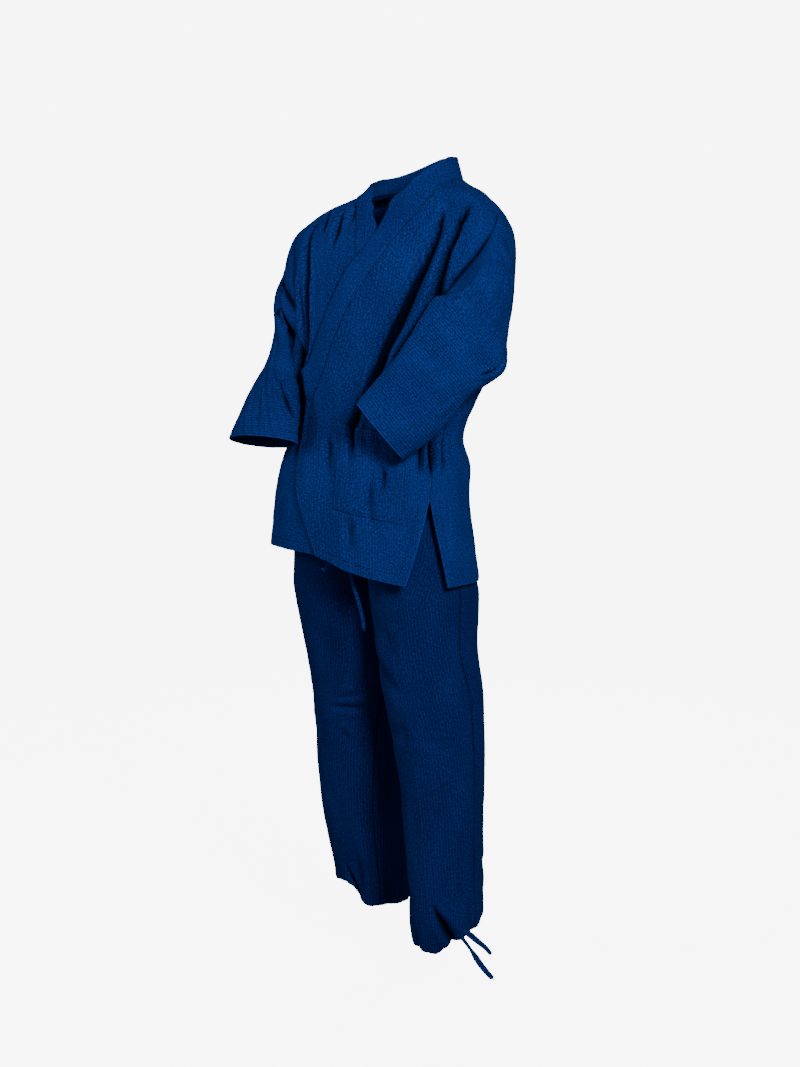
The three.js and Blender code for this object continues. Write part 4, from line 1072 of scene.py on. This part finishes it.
def leg_panel(side, face):
    """A leg's front, with face 1, or its back, with face -1."""
    sign = SIGN[side]
    end, inseam, middle = ("front", -90, 0) if face > 0 else ("back", 270, 180)
    s = np.linspace(0.0005, 0.9995, LEG_COLUMNS + 1)[None, :]
    j = np.linspace(0, 1, LEG_ROWS + 1)[:, None]
    turned = unturned(sign * mix(inseam, LEG_SIDE, s))
    low = LEG_HEM[side](turned)[0]
    z = np.where(j <= BELOW_CROTCH, mix(low, CROTCH, np.clip(j / BELOW_CROTCH, 0, 1)),
                 mix(CROTCH, TROUSER_TOP, (j - BELOW_CROTCH) / (1 - BELOW_CROTCH)))
    across = s + 0 * j

    def form(u, height):
        leg = oval(LEG[side](height), sign * mix(inseam, LEG_SIDE, u), height, 0.0)
        hip = oval(HIP(height), sign * mix(middle, LEG_SIDE, u), height, 0.0)
        leg[..., 0] += sign * 1.1 * (1 - u)
        hip[..., 0] += sign * 0.15 * (1 - u)
        share = ease(height, CROTCH, CROTCH + HIP_BLEND) ** 0.7
        return mix(leg, hip, share[..., None])

    out = normal_of(form, across, z, 0.003, 2) * (sign * face)
    calm = 1 - ease(z, 700, 780)
    deep = creases(turned + 0 * z, z, LEG_CREASES[side], LEG_MM) * calm
    seed = 40 + 8 * (side == "right") + 4 * (face < 0)
    arc = turned * LEG_MM
    edge = np.minimum(s, 1 - s) * PANEL
    above = z - low
    soft = ripples(arc, z, [(2.2, 42, 150), (0.9, 20, 60), (0.4, 12, 18)], seed)
    knees = 1.6 * np.exp(-((z - 480) / 90) ** 2) * ripple(arc / 40, z / 17, seed)
    knees = knees * ease(turned * sign, -60, 0) * (1 - ease(turned * sign, 60, 110))
    pressed_line = 1.4 * np.exp(-np.abs(turned) / 2.4) * (face > 0) * ease(above, 60, 160)
    gather = 2.4 * np.exp(-above / 34) * ripple(arc / 8.5, above / 90, seed + 3)
    shift = ((soft + knees) * ease(edge, 0, 26) + pressed_line) * calm
    shift = shift + gather * ease(edge, 0, 10) - deep
    shift = shift - sew(edge, 1.3, 3.0) - 2.5 * np.exp(-above / 7)
    points = form(across, z) + out * shift[..., None]
    # painted shade: the depth of the folds, and a dark line along the seams at each edge of the
    # panel
    shade = deep + sew(edge, 7, 2.5) * ease(z, 0, 60)
    return cloth_wall(f"trousers_{end}_{side}", f"leg_{end}_{side}", points,
                      hem=lengths(points)[1], hem_wide=16.0, outward=sign * face, deep=shade)


def waistband():
    """The gathered waistband."""
    angle = np.linspace(0, 360, 241)[None, :]
    t = np.linspace(0, 1, 13)[:, None]
    z = mix(TROUSER_TOP + 0.3, TROUSER_TOP + WAISTBAND, t) + 0 * angle

    def form(u, v):
        return oval(HIP(v), u, v, 0.0)

    out = normal_of(form, angle + 0 * z, z, 0.5, 2)
    turn = np.radians(angle)
    pleat = ripple(14 * np.cos(turn), 14 * np.sin(turn), 60)
    shift = 1.8 * pleat * (0.5 + 0.5 * np.cos(2 * np.pi * t)) + 1.5 * np.sin(np.pi * t)
    points = form(angle + 0 * z, z) + out * (shift - 1.0)[..., None]
    return cloth_wall("trousers_waistband", "waistband", points, wrap=True, thick=2.2)


# ---------- ties ----------
def tie_strap():
    """The tapered strap from the right side seam to the knot."""
    s = np.linspace(0, 1, 61)[None, :]
    t = np.linspace(-0.5, 0.5, 13)[:, None]
    angle = mix(-70, -41.5, s) + 0 * t
    z = mix(1122, 1118.5, s) + t * mix(STRAP, 9, ease(s, 0.1, 1))
    fold = 1.3 * np.cos(3 * np.pi * t) * ease(s, 0.35, 1)
    points = body_cloth(angle, z, lap_lift("right", angle), -(3.0 + 2.0 * s + fold))
    return cloth_wall("jacket_tie_strap", "tie_strap_side", points, thick=1.8, rib="across")


def overhand(name, node, centre, size, wide, thick, turn):
    """A pulled-up overhand knot of tape."""
    t = np.linspace(0, 2 * math.pi, 121)[:-1]
    loop = np.stack([np.sin(t) + 2 * np.sin(2 * t), -1.1 * np.sin(3 * t),
                     np.cos(t) - 2 * np.cos(2 * t)], axis=1)
    path = loop / (6.0, 2.2, 6.0) * size
    c, s = math.cos(math.radians(turn)), math.sin(math.radians(turn))
    path = np.stack([path[:, 0] * c - path[:, 1] * s, path[:, 0] * s + path[:, 1] * c,
                     path[:, 2]], axis=1) + centre
    face = unit(path - centre + (0, 0, 0.01))
    return declare(tube(name, path, wide, thick, face, closed=True), node)


jacket = [back(), front("left"), front("right"), collar_band(), pocket()]
sleeves = [sleeve(side) for side in SIDES]
trousers = [leg_panel(side, face) for side in SIDES for face in (1, -1)]
trousers.append(waistband())
jacket.append(tie_strap())
tie_knot = overhand("jacket_tie_knot", "tie_knot", off_front(TIE_KNOT), (15, 8, 19),
                    7.0, 4.6, -38)
draw_knot = overhand("drawstring_knot_tied", "drawstring_knot", (-38, -149.7, 1075),
                     (14, 5, 11), 5.0, 3.2, 0)


# ---------- materials ----------
STITCHES_IN = 0.0175    # metres from a hem's edge to its stitches
# the colour of painted shade, which deep folds are darkened towards
PAINTED_SHADE_COLOUR = (0.0003, 0.0009, 0.0032)


class Flow:
    """What a node puts out; maths on it makes further nodes."""

    def __init__(self, socket):
        self.socket = socket

    def maths(self, operation, *values):
        node = self.socket.id_data.nodes.new("ShaderNodeMath")
        node.operation = operation
        return fill(node, dict(enumerate((self, *values))))

    def __add__(self, other):
        return self.maths("ADD", other)

    def __sub__(self, other):
        return self.maths("SUBTRACT", other)

    def __mul__(self, other):
        return self.maths("MULTIPLY", other)


def fill(node, values, output=0):
    """Fill a node's sockets with values or flows, and give what it puts out."""
    for key, value in values.items():
        if isinstance(value, Flow):
            node.id_data.links.new(value.socket, node.inputs[key])
        else:
            node.inputs[key].default_value = value
    return Flow(node.outputs[output])


def cloth_material(name, dark, light, rib, rib_depth, rib_colour=0.2):
    """
    Ribbed indigo cotton. dark and light are its two yarns; rib is the width of one rib
    in metres and rib_depth how far it stands up.
    """
    material = bpy.data.materials.new(name)
    material.use_nodes = True
    nodes = material.node_tree.nodes

    def attribute(name, output):
        node = nodes.new("ShaderNodeAttribute")
        node.attribute_name = name
        return Flow(node.outputs[output])

    split = nodes.new("ShaderNodeSeparateXYZ")
    fill(split, {0: attribute("cloth", "Vector")})
    across, along, hem = (Flow(output) for output in split.outputs)

    def noise(per_across, per_along, layer, detail=2.0, rough=0.5):
        """Noise with this many waves a metre across and along the ribs."""
        spot = fill(nodes.new("ShaderNodeCombineXYZ"),
                    {0: across * per_across, 1: along * per_along, 2: layer})
        return fill(nodes.new("ShaderNodeTexNoise"), {
            "Vector": spot, "Scale": 1.0, "Detail": detail, "Roughness": rough}, "Fac")

    def blend(share, first, second):
        node = nodes.new("ShaderNodeMix")
        node.data_type = "RGBA"
        return fill(node, {"Factor": share, "A": first, "B": second}, "Result")

    wander = (noise(60.0, 26.0, 0.0) - 0.5) * 0.0016
    wave = ((across + wander) * (2 * math.pi / rib)).maths("SINE")
    wave = wave.maths("MULTIPLY_ADD", 0.5, 0.5)
    # slubs: short pale dashes along the ribs, broken by the weft
    dash = noise(640.0, 330.0, 3.0, 3.0, 0.6)
    weft = noise(190.0, 820.0, 9.0, 2.0, 0.6)
    broad = noise(22.0, 9.0, 5.0, 3.0)
    grain = (dash * 0.62 + weft * 0.38 - 0.43) * 5.0
    grain = grain + (wave - 0.5) * rib_colour + (broad - 0.5) * 0.5
    # stitches along the hems, and wear on their edges
    seam = (hem - STITCHES_IN).maths("ABSOLUTE")
    stitch_line = seam.maths("LESS_THAN", 0.0009)
    stitch = stitch_line * (along * 1500.0).maths("SINE").maths("GREATER_THAN", -0.3)
    grain = grain - stitch_line * 0.25 + stitch * 0.2
    grain = grain + hem.maths("LESS_THAN", 0.0022) * 0.35

    yarns = blend(grain, (*dark, 1), (*light, 1))
    # painted shade: the yarns are darkened towards the shade colour where the "fold" attribute says
    # a corner lies deep in a fold
    shaded = blend(attribute("fold", "Fac") * 0.93, yarns, (*PAINTED_SHADE_COLOUR, 1))
    height = wave * 0.28 + dash * 0.75 + weft * 0.35 + noise(200.0, 75.0, 1.0, 1.0) * 1.1
    groove = seam.maths("DIVIDE", 0.0014).maths("MINIMUM", 1.0)
    groove = groove.maths("MULTIPLY_ADD", -1.0, 1.0)
    bump = fill(nodes.new("ShaderNodeBump"), {
        "Strength": 0.75, "Distance": rib_depth, "Height": height - groove * 0.9})
    fill(nodes["Principled BSDF"], {
        "Base Color": shaded,
        "Roughness": dash.maths("MULTIPLY_ADD", 0.15, 0.78),
        "Sheen Weight": 0.015,
        "Sheen Roughness": 0.45,
        "Sheen Tint": (0.12, 0.42, 1.0, 1),
        "Specular IOR Level": 0.0,
        "Normal": bump,
    })
    return material


# Indigo yarns: the dark one and the light one of each cloth.
JACKET_YARNS = (0.0008, 0.0030, 0.0300), (0.0048, 0.0230, 0.1340)
TROUSER_YARNS = (0.0006, 0.0018, 0.0195), (0.0036, 0.0136, 0.0870)
TAPE_YARNS = (0.0006, 0.0026, 0.0275), (0.0036, 0.0190, 0.1200)
jacket_cloth = cloth_material("jacket_cotton", *JACKET_YARNS, 0.0052, 0.0011)
sleeve_cloth = cloth_material("sleeve_cotton", *JACKET_YARNS, 0.0052, 0.0011, 0.34)
trouser_cloth = cloth_material("trouser_cotton", *TROUSER_YARNS, 0.0060, 0.0011, 0.3)
tape_cloth = cloth_material("cotton_tape", *TAPE_YARNS, 0.0012, 0.0003)


def dress(pieces, material):
    for piece in pieces:
        piece.data.materials.clear()
        piece.data.materials.append(material)


dress([*jacket, tie_knot, *jacket_cords], jacket_cloth)
dress(sleeves, sleeve_cloth)
dress(trousers, trouser_cloth)
dress([draw_knot, *tapes], tape_cloth)


# ---------- floor and light ----------
STUDIO = 0.38        # the room's own light on the cloth
BACKDROP = 7.6       # how bright the lit backdrop and floor look
FLOOR_GLOW = 7.2
# Softboxes: degrees round from the garment's front, height, how far off, light at the
# garment in W/m2, and size.
SOFTBOXES = {
    "right": (59, 0.70, 3.0, 7.3, 0.7),
    "left": (-40, 0.60, 3.0, 3.0, 0.9),
    "back": (222, 0.60, 3.0, 3.5, 1.2),
}


def on_camera(tree, seen, unseen):
    """A value that is one thing to the camera and another to the light that bounces."""
    path = tree.nodes.new("ShaderNodeLightPath")
    return Flow(path.outputs["Is Camera Ray"]).maths("MULTIPLY_ADD", seen - unseen, unseen)


def floor(height, reach):
    mesh = bpy.data.meshes.new("floor")
    corners = [(x * reach, y * reach, height) for x, y in ((-1, -1), (1, -1), (1, 1), (-1, 1))]
    mesh.from_pydata(corners, [], [(0, 1, 2, 3)])
    material = bpy.data.materials.new("floor")
    material.use_nodes = True
    tree = material.node_tree
    fill(tree.nodes["Principled BSDF"], {
        "Base Color": (0.3, 0.3, 0.3, 1),
        "Roughness": 0.9,
        "Emission Color": (1, 1, 1, 1),
        "Emission Strength": on_camera(tree, FLOOR_GLOW, 0.0),
    })
    mesh.materials.append(material)
    new_object("floor", mesh)


def softbox(name, around, height, away, light_there, size):
    data = bpy.data.lights.new(name, "AREA")
    data.energy = light_there * math.pi * away ** 2
    data.size = size
    lamp = new_object(name, data)
    turn = math.radians(around)
    lamp.location = (away * math.sin(turn), -away * math.cos(turn), height)
    aim = Vector((0, -0.03, -0.45))
    lamp.rotation_euler = (aim - lamp.location).to_track_quat("-Z", "Y").to_euler()
    lamp.visible_camera = False


floor(-SHOULDER_HEIGHT / 1000 - 0.012, 30)
for name, facts in SOFTBOXES.items():
    softbox(name, *facts)

world = bpy.data.worlds.new("studio")
world.use_nodes = True
fill(world.node_tree.nodes["Background"], {
    "Color": (1, 1, 1, 1), "Strength": on_camera(world.node_tree, BACKDROP, STUDIO)})
bpy.context.scene.world = world
